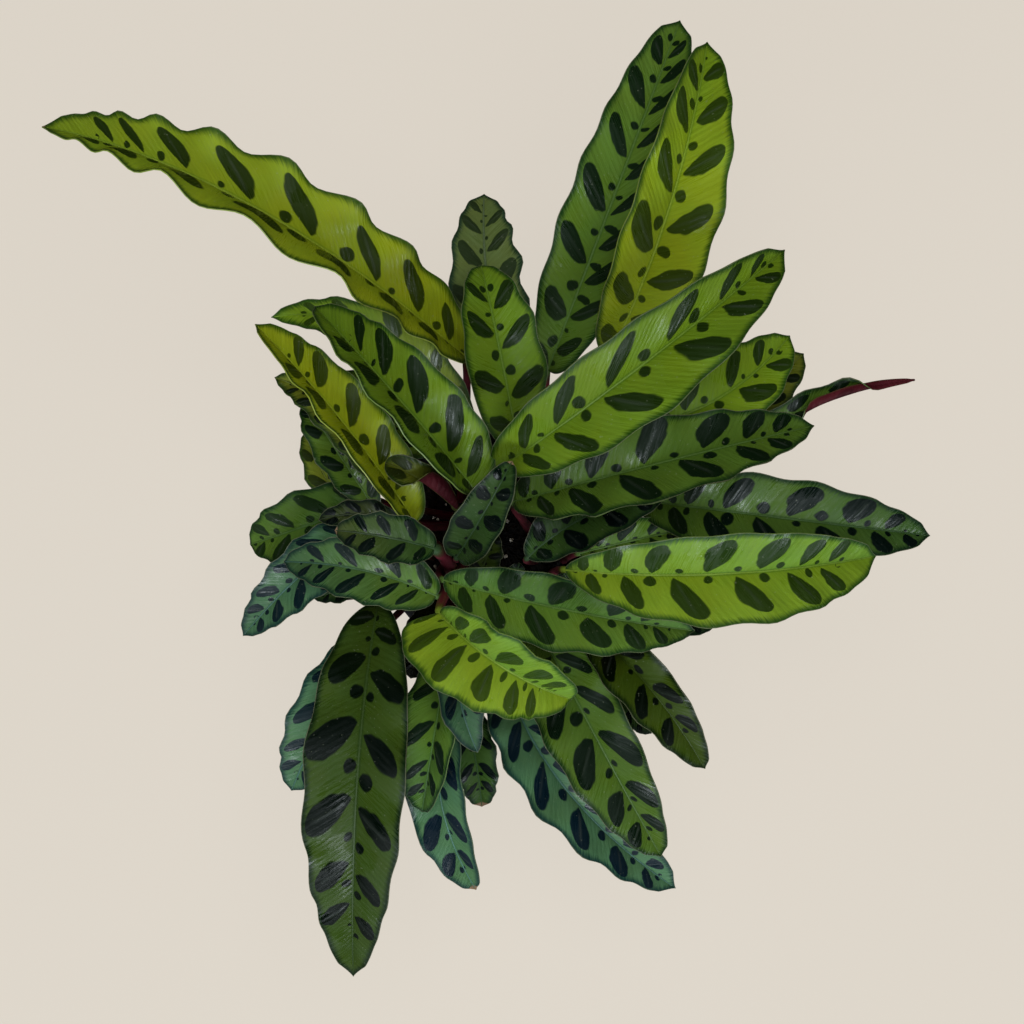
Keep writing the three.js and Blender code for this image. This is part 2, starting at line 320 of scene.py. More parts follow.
def veins_group():
    group, given, made = new_group(
        "leaf_veins",
        [("Map", "NodeSocketVector")],
        [("Line", "NodeSocketFloat"), ("Grain", "NodeSocketFloat"), ("Height", "NodeSocketFloat")],
    )
    t = group
    along, across, _ = split(t, given["Map"])
    swaying = combine(t, times(t, along, SWAY_STRETCH), across)
    sway = times(t, noise(t, swaying, SWAY_SCALE, 1), VEIN_SWAY)
    place = calc(t, "DIVIDE", plus(t, along, sway), VEIN_SPACING)
    saw = calc(t, "ABSOLUTE", minus(t, calc(t, "FRACT", place), 0.5))
    squeezed = combine(t, times(t, along, GRAIN_ALONG), times(t, across, GRAIN_ACROSS))
    grain = noise(t, squeezed, 1.0, 3)
    line = times(t, ramp(t, saw, 0.0, VEIN_WIDTH, 1.0, 0.0), ramp(t, grain, 0.4, 0.6))
    put(t, made["Line"], line)
    put(t, made["Grain"], grain)
    put(t, made["Height"], plus(t, times(t, saw, VEIN_ARCH), times(t, grain, GRAIN_RELIEF)))
    return group


VEINS = veins_group()
print("veins group:", len(VEINS.nodes), "nodes")

# %% [markdown]
# The upper face of a blade. Its green comes from an attribute called tone, so one material serves
# bright young leaves and dark old ones. Another, inset, is the distance to the margin in
# millimetres: over the last four the green deepens, ragged along the veins, and the very edge is a
# pale line. Close beside the midrib the green is darkened as painted shade. The marks take the
# green down to nearly black, and a pale streak along the middle of each is a painted highlight.
# The skin is waxy in patches. A clear coat would shine all over, so the roughness itself follows
# the vein grain and a wider noise, and only streaks of a mark catch the light.

# %% Upper face of the leaves
MARK_LIGHT = (0.20, 0.235, 0.27)
MARK_DARK = (0.033, 0.058, 0.23)
PALE_EDGE = (0.145, 0.15, 0.09)
DRY = (0.19, 0.125, 0.075)
STREAK_HIGHLIGHT = (0.05, 0.062, 0.052)
SPECK = (0.25, 0.28, 0.2)
BAND_SHARE = (0.13, 0.23, 0.40)
PATCH_SHARE = (1.25, 1.0, 0.6)
VEIN_SHARE = (0.5, 0.62, 0.7)
RIB_SHADE_SHARE = (0.45, 0.6, 0.8)
BAND_INSIDE, BAND_OUTSIDE, RAGGED = 4.2, 0.4, 3.6
GLOSSY, SATIN, WAXY = 0.13, 0.44, 0.34
PATCH_SCALE, SPECK_SCALE, DRY_SCALE, WAX_SCALE, PORE_SCALE = 55, 900, 260, 60, 1500
LIFT_LEAST, LIFT_SPREAD = 0.70, 0.60
VEIN_PAINT, STREAK_HIGHLIGHT_PAINT, EDGE_PAINT = 0.09, 0.3, 0.5
PORE_RELIEF, STREAK_RELIEF = 0.35, 0.8
RELIEF_HEIGHT, RELIEF_STRENGTH = 0.00026, 0.7


def leaf_patterns(t):
    """The marks and the veins of one blade, as both of its faces show them."""
    marks = use_group(t, MARKS, Map=uv_map(t, "marks"), Look=attribute(t, "look", "Vector"),
                      Tilt=attribute(t, "tilt"))
    return marks, use_group(t, VEINS, Map=uv_map(t, "veins"))


def leaf_top_material():
    material, t, shader = new_material("leaf_top", specular=0.25)
    tone = attribute(t, "tone", "Color")
    marks, veins = leaf_patterns(t)
    reach = attribute(t, "reach")
    inset = attribute(t, "inset")
    place = object_place(t)
    patches = noise(t, place, PATCH_SCALE, 3)

    lift = times_plus(t, veins["Grain"], LIFT_SPREAD, LIFT_LEAST)
    green = tinted(t, tone, combine(t, lift, lift, lift))
    green = blend(t, ramp(t, patches, 0.35, 0.7, 0.0, 0.35), green, tinted(t, tone, PATCH_SHARE))
    green = blend(t, times(t, veins["Line"], VEIN_PAINT), green, tinted(t, tone, VEIN_SHARE))
    ragged = plus(t, inset, spread(t, veins["Grain"], RAGGED))
    band = ramp(t, ragged, BAND_INSIDE, BAND_OUTSIDE, 0.0, 1.0)
    green = blend(t, band, green, tinted(t, tone, BAND_SHARE))
    # A narrow band of painted shade darkens the blade along both sides of the midrib.
    rib_shade = ramp(t, reach, 0.02, 0.075, 0.6, 0.0)
    green = blend(t, rib_shade, green, tinted(t, tone, RIB_SHADE_SHARE))

    share = blend(t, attribute(t, "depth"), MARK_LIGHT, MARK_DARK)
    dark = tinted(t, tinted(t, tone, share), combine(t, lift, lift, lift))
    # A pale streak is painted along the middle of each mark as a painted highlight.
    dark = blend(t, times(t, marks["Streak"], STREAK_HIGHLIGHT_PAINT), dark, STREAK_HIGHLIGHT)
    colour = blend(t, marks["Mask"], green, dark)
    edge = ramp(t, inset, 0.38, 0.2)
    colour = blend(t, times(t, edge, EDGE_PAINT), colour, PALE_EDGE)
    speck = ramp(t, noise(t, place, SPECK_SCALE, 0), 0.79, 0.82, 0.0, 0.18)
    colour = blend(t, speck, colour, SPECK)
    parched = plus(t, attribute(t, "dry"), spread(t, noise(t, place, DRY_SCALE, 2), 0.5))
    colour = blend(t, ramp(t, parched, 0.45, 0.6), colour, DRY)

    put(t, shader["Base Color"], colour)
    waxy = ramp(t, noise(t, place, WAX_SCALE, 2), 0.44, 0.62, WAXY, 0.0)
    waxy = times(t, waxy, times_plus(t, marks["Streak"], -1.0, 1.0))
    rough = plus(t, ramp(t, veins["Grain"], 0.38, 0.62, GLOSSY, SATIN), waxy)
    put(t, shader["Roughness"], rough)
    relief = plus(t, veins["Height"], times(t, noise(t, place, PORE_SCALE, 2), PORE_RELIEF))
    relief = plus(t, relief, times(t, marks["Streak"], STREAK_RELIEF))
    put(t, shader["Normal"], bump(t, relief, RELIEF_HEIGHT, RELIEF_STRENGTH))
    return material


LEAF_TOP = leaf_top_material()
print("leaf_top:", len(LEAF_TOP.node_tree.nodes), "nodes")

# %% [markdown]
# The underside is maroon, duller than the top, and the marks show through it as darker shadows.
# The cut edge between the two faces is pale and a little translucent looking.

# %% Underside and margin of the leaves
MAROON = (0.038, 0.003, 0.006)
UNDER_PATCH = (0.060, 0.008, 0.012)
UNDER_VEIN = (0.025, 0.002, 0.004)
UNDER_MARK = (0.022, 0.002, 0.004)
UNDER_RIM = (0.08, 0.07, 0.028)


def leaf_under_material():
    material, t, shader = new_material("leaf_under", specular=0.15)
    marks, veins = leaf_patterns(t)
    place = object_place(t)
    colour = blend(t, ramp(t, noise(t, place, 60, 3), 0.3, 0.7), MAROON, UNDER_PATCH)
    colour = blend(t, times(t, veins["Line"], 0.4), colour, UNDER_VEIN)
    colour = blend(t, times(t, marks["Mask"], 0.5), colour, UNDER_MARK)
    rim = ramp(t, attribute(t, "reach"), 0.90, 1.0, 0.0, 0.4)
    colour = blend(t, rim, colour, UNDER_RIM)
    put(t, shader["Base Color"], colour)
    put(t, shader["Roughness"], times_plus(t, veins["Grain"], 0.2, 0.45))
    put(t, shader["Normal"], bump(t, veins["Height"], 0.0004, 0.8))
    return material


def leaf_edge_material():
    material, t, shader = new_material("leaf_edge", roughness=0.5)
    tone = attribute(t, "tone", "Color")
    grain = ramp(t, noise(t, object_place(t), 400, 2), 0.3, 0.7, 0.1, 0.38)
    put(t, shader["Base Color"], blend(t, grain, tone, PALE_EDGE))
    return material


LEAF_UNDER = leaf_under_material()
LEAF_EDGE = leaf_edge_material()
print("leaf_under and leaf_edge ready")

# %% [markdown]
# A stalk is dark maroon at the soil, painted lighter and redder higher up as painted light where
# the lamps reach it, and greener at its swollen joint, and runs on along the blade as the raised
# midrib. An attribute called along says how far a point is: 0 at the root, 1 where the blade
# begins, 2 at the tip. Fine lengthwise fibres come from a noise squeezed sideways.

# %% Stalk and midrib
STALK_DARK, STALK_FIBRE = (0.036, 0.002, 0.005), (0.075, 0.007, 0.012)
STALK_STAIN, STALK_LIT_RED = (0.10, 0.075, 0.03), (0.15, 0.014, 0.028)
JOINT_SHARE = (0.5, 0.42, 0.5)
RIB_DARK, RIB_PALE = (0.8, 0.8, 1.2), (1.25, 1.15, 2.2)
FIBRES_ACROSS, FIBRES_ALONG, STAIN_SCALE = 900, 60, 45


def stalk_material():
    material, t, shader = new_material("stalk", specular=0.3)
    along = attribute(t, "along")
    tone = attribute(t, "tone", "Color")
    x, y, z = split(t, object_place(t))
    squeezed = combine(t, times(t, x, FIBRES_ACROSS), times(t, y, FIBRES_ACROSS), times(t, z, FIBRES_ALONG))
    fibres = noise(t, squeezed, 1.0, 3)
    stain = noise(t, object_place(t), STAIN_SCALE, 2)
    maroon = blend(t, ramp(t, fibres, 0.35, 0.7), STALK_DARK, STALK_FIBRE)
    maroon = blend(t, ramp(t, stain, 0.55, 0.75, 0.0, 0.4), maroon, STALK_STAIN)
    # Higher up the maroon is painted lighter and redder, as painted light on the stalk.
    maroon = blend(t, ramp(t, along, 0.5, 0.9, 0.0, 0.7), maroon, STALK_LIT_RED)
    joint = ramp(t, along, 0.9, 0.99, 0.0, 0.6)
    green = tinted(t, tone, JOINT_SHARE)
    stalk = blend(t, joint, maroon, green)
    rib = blend(t, ramp(t, fibres, 0.3, 0.7, 0.0, 0.6), tinted(t, tone, RIB_DARK),
                tinted(t, tone, RIB_PALE))
    put(t, shader["Base Color"], blend(t, ramp(t, along, 0.99, 1.04), stalk, rib))
    put(t, shader["Roughness"], times_plus(t, fibres, 0.25, 0.4))
    put(t, shader["Normal"], bump(t, fibres, 0.0003, 0.6))
    return material


STALK = stalk_material()
print("stalk ready")

# %% [markdown]
# The leaves' sizes. Each row repeats the frame's own figures for one leaf: where its stalk is
# rooted, three points of the midrib, the half width, how steeply both halves rise and how far the
# blade rolls over in degrees, its outline and its ripples. Then come the tone at the base and at
# the tip, their brightness, which is partly the leaf's own and partly painted light and shade, so
# that leaves low under others are darkened and some others lightened, how long the small marks
# are, and for the left and the right side where the first and the last large mark are rooted, as a
# share of the blade's length, and how many there are.

# %% Leaf table
W, N, E, S = (-24, -14), (-13, 13), (27, -7), (24, -29)
TONES = {
    "lime": (0.150, 0.235, 0.014),
    "gold": (0.185, 0.235, 0.008),
    "fresh": (0.120, 0.210, 0.011),
    "moss": (0.088, 0.160, 0.010),
    "leafy": (0.076, 0.150, 0.018),
    "deep": (0.042, 0.100, 0.020),
    # teal is a blue-green that is partly a painted bluish sheen, for the low leaves leaning towards the
    # windows.
    "teal": (0.040, 0.098, 0.046),
    "olive": (0.100, 0.130, 0.014),
    "dull": (0.060, 0.088, 0.026),
}
LEAVES = [
    ("01_nw_long", N, 2, 125, (-15, 95, 225), (-113, 160, 300), (-213, 199, 285), 26, 40, 27, 0.7, 0.6, 7, 3,
     "gold", "lime", 1.03, 0.22, (0.09, 0.86, 7), (0.04, 0.81, 8)),
    ("02_n_rear", N, 2, 70, (7, 71, 182), (-3, 127, 218), (-5, 177, 212), 19, 12, 0, 0.9, 0.5, 5, 2,
     "dull", "dull", 1.4, 0.1, (0.15, 0.88, 6), (0.2, 0.81, 5)),
    ("03_n_front", N, 2, 40, (12, 50, 228), (2, 100, 265), (-6, 136, 262), 21, 25, 12, 0.8, 0.6, 5, 2,
     "moss", "moss", 1.02, 0.25, (0.09, 0.70, 4), (0.21, 0.67, 3)),
    ("04_ne_rear", E, 2, 95, (27, 89, 205), (59, 171, 270), (90, 254, 262), 23, 25, 0, 0.88, 0.5, 6, 2,
     "leafy", "leafy", 0.95, 0.35, (0.01, 0.86, 7), (0.06, 0.88, 10)),
    ("05_ne_front", E, 2, 72, (58, 96, 240), (82, 159, 310), (100, 236, 300), 26, 34, 14, 0.85, 0.6, 6, 2,
     "gold", "fresh", 1.08, 0.22, (0.05, 0.84, 6), (0.13, 0.88, 6)),
    ("06_ne_broad", E, 1, 120, (3, 38, 262), (68, 84, 318), (135, 138, 310), 26, 34, 11, 0.9, 0.6, 6, 2,
     "fresh", "fresh", 0.76, 0.32, (0.10, 0.87, 6), (0.08, 0.88, 6)),
    ("07_e_behind", E, 2, 45, (66, 61, 205), (107, 71, 242), (146, 104, 236), 22, 20, 0, 1, 0.6, 5, 2,
     "fresh", "fresh", 1.05, 0.25, (0.15, 0.79, 4), (0.2, 0.82, 4)),
    ("08_e_lowest", E, 3, 52, (85, 57, 170), (122, 71, 196), (158, 98, 194), 18, 20, 0, 1, 0.6, 5, 2,
     "olive", "olive", 0.8, 0.2, (0.2, 0.8, 4), (0.2, 0.8, 4)),
    ("09_e_rolled", E, 3, 32, (116, 43, 206), (159, 71, 232), (210, 83, 220), 8, 30, 0, 0.85, 0.6, 5, 1.5,
     "leafy", "leafy", 0.6, 0.0, (0.2, 0.6, 3), (0.2, 0.6, 3)),
    ("10_e_upper", E, 1, 60, (10, 22, 235), (78, 40, 268), (156, 59, 252), 23, 32, -10, 0.9, 0.6, 7, 2.5,
     "leafy", "leafy", 0.74, 0.2, (0.04, 0.88, 7), (0.10, 0.85, 6)),
    ("11_e_dark", E, 2, 15, (74, 23, 192), (145, 14, 222), (221, 5, 203), 22, 25, 0, 0.85, 0.6, 6, 2,
     "leafy", "deep", 0.65, 0.3, (0.17, 0.84, 5), (0.12, 0.90, 6)),
    ("12_e_bright", S, 2, 62, (35, -11, 258), (107, -12, 290), (183, -4, 272), 26, 32, 13, 1.12, 0.6, 6, 1.5,
     "lime", "fresh", 0.95, 0.2, (0.06, 0.84, 7), (0.08, 0.81, 6)),
    ("13_e_hidden", S, 2, 338, (51, -33, 185), (79, -34, 206), (113, -40, 202), 14, 20, 0, 0.9, 0.6, 4, 1.5,
     "deep", "deep", 0.6, 0.2, (0.2, 0.8, 4), (0.2, 0.8, 4)),
    ("14_ese", W, 1, 180, (-25, -17, 220), (36, -31, 242), (100, -42, 226), 22, 33, 12, 0.9, 0.7, 6, 2,
     "leafy", "leafy", 1.03, 0.2, (0.11, 0.78, 5), (0.08, 0.84, 6)),
    ("15_se_broad", N, 2, 300, (-26, -32, 255), (3, -56, 272), (38, -74, 254), 28, 38, 20, 0.82, 0.6, 5, 2,
     "lime", "lime", 1.02, 0.2, (0.15, 0.77, 5), (0.0, 0.74, 6)),
    ("16_s_long", W, 2, 205, (-59, -30, 205), (-68, -119, 228), (-74, -226, 165), 28, 25, 5, 0.9, 0.62, 7, 2.5,
     "leafy", "leafy", 0.34, 0.26, (0.08, 0.83, 6), (0.04, 0.80, 6)),
    ("17_sw_behind", W, 3, 215, (-59, -45, 182), (-84, -85, 202), (-105, -127, 180), 19, 15, 0, 0.9, 0.6, 5, 2,
     "teal", "teal", 1.35, 0.2, (0.15, 0.85, 5), (0.1, 0.8, 5)),
    ("18_s_mid", W, 2, 250, (-23, -53, 190), (-30, -95, 212), (-37, -136, 195), 18, 38, 18, 0.9, 0.6, 5, 1.5,
     "leafy", "deep", 1.17, 0.25, (0.1, 0.71, 4), (0.05, 0.79, 5)),
    ("19_s_low", W, 3, 275, (-24, -81, 168), (-28, -128, 186), (-10, -183, 150), 19, 38, 12, 0.9, 0.6, 5, 2,
     "teal", "teal", 1.4, 0.25, (0.1, 0.79, 4), (0.05, 0.79, 4)),
    ("20_s_small", W, 1, 259, (-21, -52, 220), (-16, -79, 232), (-8, -103, 222), 12, 30, 0, 0.85, 0.85, 4, 1,
     "teal", "teal", 0.9, 0.1, (0.1, 0.4, 2), (0.1, 0.4, 2)),
    ("21_s_blunt", W, 3, 300, (-19, -77, 148), (-11, -108, 162), (-7, -139, 150), 12, 20, 0, 1.1, 0.5, 4, 1,
     "deep", "deep", 0.8, 0.2, (0.2, 0.75, 4), (0.2, 0.75, 4)),
    ("22_se_large", S, 1, 300, (21, -39, 182), (51, -96, 198), (87, -163, 168), 26, 33, 11, 0.85, 0.6, 6, 2,
     "leafy", "leafy", 0.66, 0.3, (0.17, 0.82, 5), (0.15, 0.85, 5)),
    ("23_se_lower", S, 2, 240, (3, -60, 160), (34, -123, 174), (96, -183, 145), 22, 28, -5, 0.85, 0.52, 6, 2,
     "teal", "teal", 1.3, 0.3, (0.17, 0.88, 6), (0.13, 0.88, 6)),
    ("24_se_right", S, 2, 305, (49, -44, 200), (78, -71, 228), (106, -112, 214), 17, 33, 10, 0.85, 0.6, 5, 1.5,
     "moss", "moss", 0.3, 0.25, (0.05, 0.69, 4), (0.2, 0.67, 3)),
    ("25_se_sliver", S, 2, 280, (50, -65, 158), (66, -81, 170), (82, -99, 164), 10, 20, 0, 0.85, 0.6, 4, 1,
     "deep", "deep", 0.35, 0.2, (0.2, 0.8, 4), (0.2, 0.8, 4)),
    ("26_nw_main", N, 1, 60, (-10, 29, 258), (-45, 71, 290), (-85, 115, 276), 26, 46, 25, 0.8, 0.6, 6, 2,
     "moss", "moss", 0.98, 0.27, (0.04, 0.75, 5), (0.05, 0.72, 5)),
    ("27_nw_rear", N, 2, 97, (-12, 58, 210), (-54, 104, 236), (-111, 114, 224), 13, 20, 0, 0.8, 0.6, 5, 1.5,
     "olive", "fresh", 1.32, 0.2, (0.15, 0.8, 5), (0.1, 0.8, 5)),
    ("28_w_olive", N, 1, 220, (-40, 12, 208), (-75, 62, 238), (-118, 110, 232), 20.5, 46, 27, 0.85, 0.6, 6, 2,
     "gold", "gold", 1.15, 0.2, (0.05, 0.74, 5), (0.15, 0.76, 5)),
    ("29_w_behind", N, 2, 172, (-51, 25, 200), (-79, 65, 213), (-111, 85, 207), 11, 18, 0, 0.85, 0.6, 5, 1.5,
     "olive", "olive", 1.3, 0.2, (0.15, 0.8, 5), (0.1, 0.8, 5)),
    ("30_w_dark", N, 2, 200, (-61, 18, 182), (-82, 51, 197), (-97, 74, 192), 12, 18, 0, 0.85, 0.6, 4, 1,
     "leafy", "leafy", 0.82, 0.2, (0.15, 0.8, 4), (0.1, 0.8, 4)),
    ("31_w_lowest", N, 3, 190, (-77, 15, 150), (-89, 36, 163), (-100, 59, 158), 10, 18, 0, 0.85, 0.6, 4, 1,
     "olive", "olive", 1.75, 0.0, (0.1, 0.7, 3), (0.15, 0.75, 3)),
    ("32_w_long", W, 2, 120, (-62, 23, 166), (-97, 10, 182), (-128, 0, 165), 19, 18, 0, 0.9, 0.6, 5, 1.5,
     "deep", "leafy", 0.88, 0.2, (0.1, 0.85, 4), (0.1, 0.78, 4)),
    ("33_w_narrow", W, 1, 120, (-50, 12, 198), (-68, 16, 207), (-89, 13, 204), 8, 20, 0, 0.85, 0.6, 4, 1,
     "dull", "dull", 0.52, 0.1, (0.1, 0.8, 3), (0.2, 0.8, 3)),
    ("34_w_small", W, 2, 288, (-29, -1, 240), (-53, 5, 250), (-78, 8, 240), 12.5, 18, 0, 0.85, 0.6, 5, 1.5,
     "deep", "dull", 0.63, 0.0, (0.10, 0.78, 4), (0.20, 0.68, 3)),
    ("35_w_front", W, 1, 220, (-29, -25, 218), (-64, -12, 230), (-106, -8, 212), 17, 22, 0, 0.85, 0.6, 6, 1.5,
     "leafy", "teal", 0.86, 0.15, (0.13, 0.82, 5), (0.08, 0.74, 4)),
    ("36_wsw", W, 2, 150, (-69, 7, 191), (-97, -14, 204), (-130, -47, 180), 16, 22, 0, 0.8, 0.6, 5, 2,
     "teal", "teal", 1.1, 0.2, (0.15, 0.85, 5), (0.1, 0.8, 5)),
    ("37_sw_low", W, 3, 180, (-53, -14, 160), (-73, -21, 172), (-95, -28, 166), 8, 20, 0, 0.85, 0.6, 4, 1,
     "deep", "deep", 0.6, 0.2, (0.15, 0.8, 4), (0.1, 0.8, 4)),
    ("38_crown", W, 1, 60, (-18, -5, 240), (-3, 19, 278), (9, 41, 288), 14, 35, 0, 0.75, 0.6, 4, 1,
     "deep", "deep", 0.46, 0.25, (0.10, 0.78, 4), (0.18, 0.65, 3)),
    ("39_curled", N, 1, 160, (-19, 19, 222), (-36, 33, 250), (-53, 41, 247), 10, 30, 0, 0.9, 0.6, 3, 1,
     "olive", "olive", 0.68, 0.0, (0.2, 0.7, 2), (0.2, 0.7, 2)),
    ("40_e_near", E, 1, 210, (17, -6, 200), (48, 16, 225), (87, 28, 222), 16, 25, 0, 1, 0.6, 5, 1.5,
     "deep", "deep", 0.55, 0.2, (0.15, 0.8, 4), (0.1, 0.8, 4)),
    ("41_e_small", E, 2, 345, (44, -4, 186), (72, 3, 200), (97, 8, 190), 12, 20, 0, 0.85, 0.6, 4, 1,
     "leafy", "leafy", 1.1, 0.1, (0.15, 0.8, 4), (0.1, 0.8, 4)),
    ("42_low_n", W, 2, 0, (-9, -19, 135), (-4, -6, 150), (1, 6, 158), 9, 20, 0, 0.85, 0.6, 3, 1,
     "moss", "moss", 0.24, 0.1, (0.2, 0.8, 3), (0.2, 0.8, 3)),
    ("43_low_e", S, 2, 175, (9, -25, 132), (11, -17, 142), (13, -10, 146), 7, 20, 0, 0.85, 0.6, 3, 1,
     "deep", "deep", 0.5, 0.1, (0.2, 0.8, 3), (0.2, 0.8, 3)),
    ("44_low_sw", W, 3, 245, (-32, -30, 160), (-38, -50, 172), (-44, -70, 166), 10, 20, 0, 0.85, 0.6, 4, 1,
     "olive", "olive", 0.06, 0.1, (0.2, 0.8, 3), (0.2, 0.8, 3)),
    ("45_low_s", S, 2, 220, (15, -41, 150), (21, -55, 163), (28, -67, 160), 7, 20, 0, 0.85, 0.6, 3, 1,
     "deep", "deep", 0.5, 0.1, (0.2, 0.8, 3), (0.2, 0.8, 3)),
    ("46_nw_under", N, 2, 148, (-33, 48, 192), (-55, 66, 203), (-76, 89, 199), 13, 20, 0, 0.85, 0.6, 4, 1,
     "moss", "moss", 1.0, 0.2, (0.15, 0.8, 4), (0.1, 0.8, 4)),
    ("47_low_se", S, 2, 20, (36, -27, 132), (38, -20, 139), (40, -13, 142), 7, 20, 0, 0.85, 0.6, 3, 1,
     "deep", "deep", 0.5, 0.1, (0.2, 0.8, 3), (0.2, 0.8, 3)),
]
FIELDS = ("place", "clump", "ring", "bearing", "base", "middle", "tip", "half", "fold", "roll", "belly",
          "fullness", "ripples", "ripple", "tone", "tip_tone", "shade", "small", "left_marks", "right_marks")
print(len(LEAVES), "leaves in the table")

# %% [markdown]
# Most leaves share the same looks, and some differ. Pairs are for the left and the right half.
# Marks have a lean towards the tip, a width as a share of their spacing, an extent towards the
# margin, a depth of colour, and a crowding towards both ends of the blade. The margin bulges out
# beside them by scallop, in millimetres, and lifts by flare times that. A lobe reaches back round
# the stalk, skew moves the widest place of each half along it, and a left tint paints a bluish
# sheen, a painted reflection of the windows, onto the left half.
# A rolled half is given by where the roll begins and is complete, the slope in degrees at which it
# leaves the midrib and the angle through which it then curls.

# %% Looks
OPEN = (2, 3, 0, 0)
PLAIN = {
    "lean": (0.85, 0.85),
    "width": (0.28, 0.28),
    "extent": (0.87, 0.87),
    "scallop": (1.2, 1.2),
    "flare": (0.35, 0.35),
    "lobe": (0.15, 0.15),
    "skew": 0,
    "crowding": 0.06,
    "rolled": (OPEN, OPEN),
    "depth": 0.85,
    "left_sheen_tint": (1, 1, 1),
}
LOOKS = {
    "01_nw_long": {"lean": (0.3, 1.3), "width": (0.34, 0.25), "extent": (0.66, 0.78),
                   "scallop": (1.2, 3), "flare": (3.3, 0.35), "depth": 0.7},
    "02_n_rear": {"depth": 0, "scallop": (1.2, 2)},
    "03_n_front": {"width": (0.27, 0.27), "depth": 0.65},
    "04_ne_rear": {"lean": (0.97, 1.3), "width": (0.29, 0.30), "extent": (0.87, 0.8), "depth": 0.8,
                   "crowding": 0},
    "05_ne_front": {"lean": (1.1, 0.79), "width": (0.28, 0.26), "depth": 0.45, "crowding": 0.03},
    "06_ne_broad": {"lean": (1.35, 1.0), "width": (0.24, 0.24), "skew": -0.08, "depth": 0.65},
    "07_e_behind": {"depth": 0.55},
    "09_e_rolled": {"rolled": ((0.66, 0.80, 60, 150), (0.36, 0.52, 20, 190))},
    "10_e_upper": {"lean": (0.65, 0.78), "width": (0.31, 0.29), "extent": (0.95, 0.9), "scallop": (1.5, 3.2)},
    "11_e_dark": {"lean": (0.6, 0.7), "width": (0.30, 0.28), "extent": (0.93, 0.88), "depth": 1},
    "12_e_bright": {"lean": (0.5, 0.66), "width": (0.28, 0.28), "extent": (0.95, 0.85), "depth": 0.5,
                    "left_sheen_tint": (0.87, 0.98, 1.6)},
    "14_ese": {"lean": (0.37, 0.7), "width": (0.27, 0.31), "extent": (0.97, 0.86), "depth": 0.55,
               "left_sheen_tint": (0.86, 0.94, 1.4)},
    "15_se_broad": {"lean": (0.35, 0.25), "width": (0.34, 0.28), "extent": (0.75, 0.86), "lobe": (-0.1, 0.6),
                    "skew": 0.2, "depth": 0.15, "left_sheen_tint": (0.80, 0.94, 1.55)},
    "16_s_long": {"lean": (0.62, 0.62), "width": (0.26, 0.26), "extent": (0.88, 0.92), "depth": 1},
    "19_s_low": {"depth": 1},
    "21_s_blunt": {"depth": 1},
    "22_se_large": {"width": (0.30, 0.30), "depth": 0.9},
    "23_se_lower": {"extent": (0.7, 0.87), "scallop": (1.5, 2.5), "depth": 0.95},
    "24_se_right": {"depth": 1},
    "26_nw_main": {"lean": (0.3, 1.0), "width": (0.36, 0.31), "extent": (0.8, 0.9), "skew": 0.1},
    "27_nw_rear": {"width": (0.2, 0.2), "depth": 0.2},
    "28_w_olive": {"lean": (0.3, 0.93), "width": (0.34, 0.28), "extent": (0.8, 0.9), "depth": 0.4},
    "31_w_lowest": {"depth": 0.4},
    "32_w_long": {"depth": 0.35},
    "34_w_small": {"lean": (0.6, 0.6)},
    "38_crown": {"lean": (0.6, 0.6), "scallop": (0.8, 0.8), "depth": 1},
    "39_curled": {"rolled": ((0.68, 0.46, 75, 170), (0.58, 0.38, -70, 130)), "depth": 0.2},
    "40_e_near": {"lean": (0.6, 0.6), "extent": (0.92, 0.87), "depth": 1},
    "41_e_small": {"scallop": (0.6, 0.6)},
    "42_low_n": {"depth": 1},
}
leaves = [PLAIN | dict(zip(FIELDS, row)) | LOOKS.get(row[0], {}) for row in LEAVES]
print(len(LOOKS), "leaves have looks of their own")

# %% [markdown]
# One formula places any point of a blade. The midrib is a curve through the leaf's base, middle
# and tip. A point lies a share v of the half width to the left or right of it, raised by the fold
# of that half. Across, each half is an arc, steep at the midrib and flatter at the margin, or a
# roll. Beside each large mark the blade swells up and its margin bulges out. The outline is cut
# off just before the tip and drawn out to a short point, as on the real leaf.

# %% Blade formula
RIPPLE_RISE = 1.6
ARCH = -22
PILLOW = 0.7
TIP_START = 0.955
TIP_DRAW = 1.2
LEAST_CURL = 0.001
LEAST_WIDTH = 0.15
JUST_BESIDE = 1e-4
AHEAD = 0.01
UPRIGHT, MOST_TILT, NOT_ZERO = 0.8, 3, 1e-6
BEYOND_MARKS = 1.2
NARROW_FADE = 1.4


def unit(vectors):
    return vectors / np.linalg.norm(vectors, axis=-1, keepdims=True)


def midrib_handles(leaf):
    """The midrib's ends, and the point that pulls the curve between them through its middle."""
    base, middle, tip = (np.array(leaf[k], float) for k in ("base", "middle", "tip"))
    return base, 2 * middle - (base + tip) / 2, tip


def of_side(pair, v):
    """The left or the right value of a pair, whichever half each point is on."""
    left, right = pair
    return np.where(np.asarray(v) < 0, right, left)


def midrib_point(leaf, t):
    base, bend, tip = midrib_handles(leaf)
    t = np.asarray(t, float)[..., None]
    return (1 - t) ** 2 * base + 2 * t * (1 - t) * bend + t ** 2 * tip


def midrib_tangent(leaf, t):
    base, bend, tip = midrib_handles(leaf)
    t = np.asarray(t, float)[..., None]
    return unit(2 * (1 - t) * (bend - base) + 2 * t * (tip - bend))


def blade_frame(leaf, t):
    forward = midrib_tangent(leaf, t)
    left = unit(np.cross([0.0, 0.0, 1.0], forward))
    return left, np.cross(forward, left)


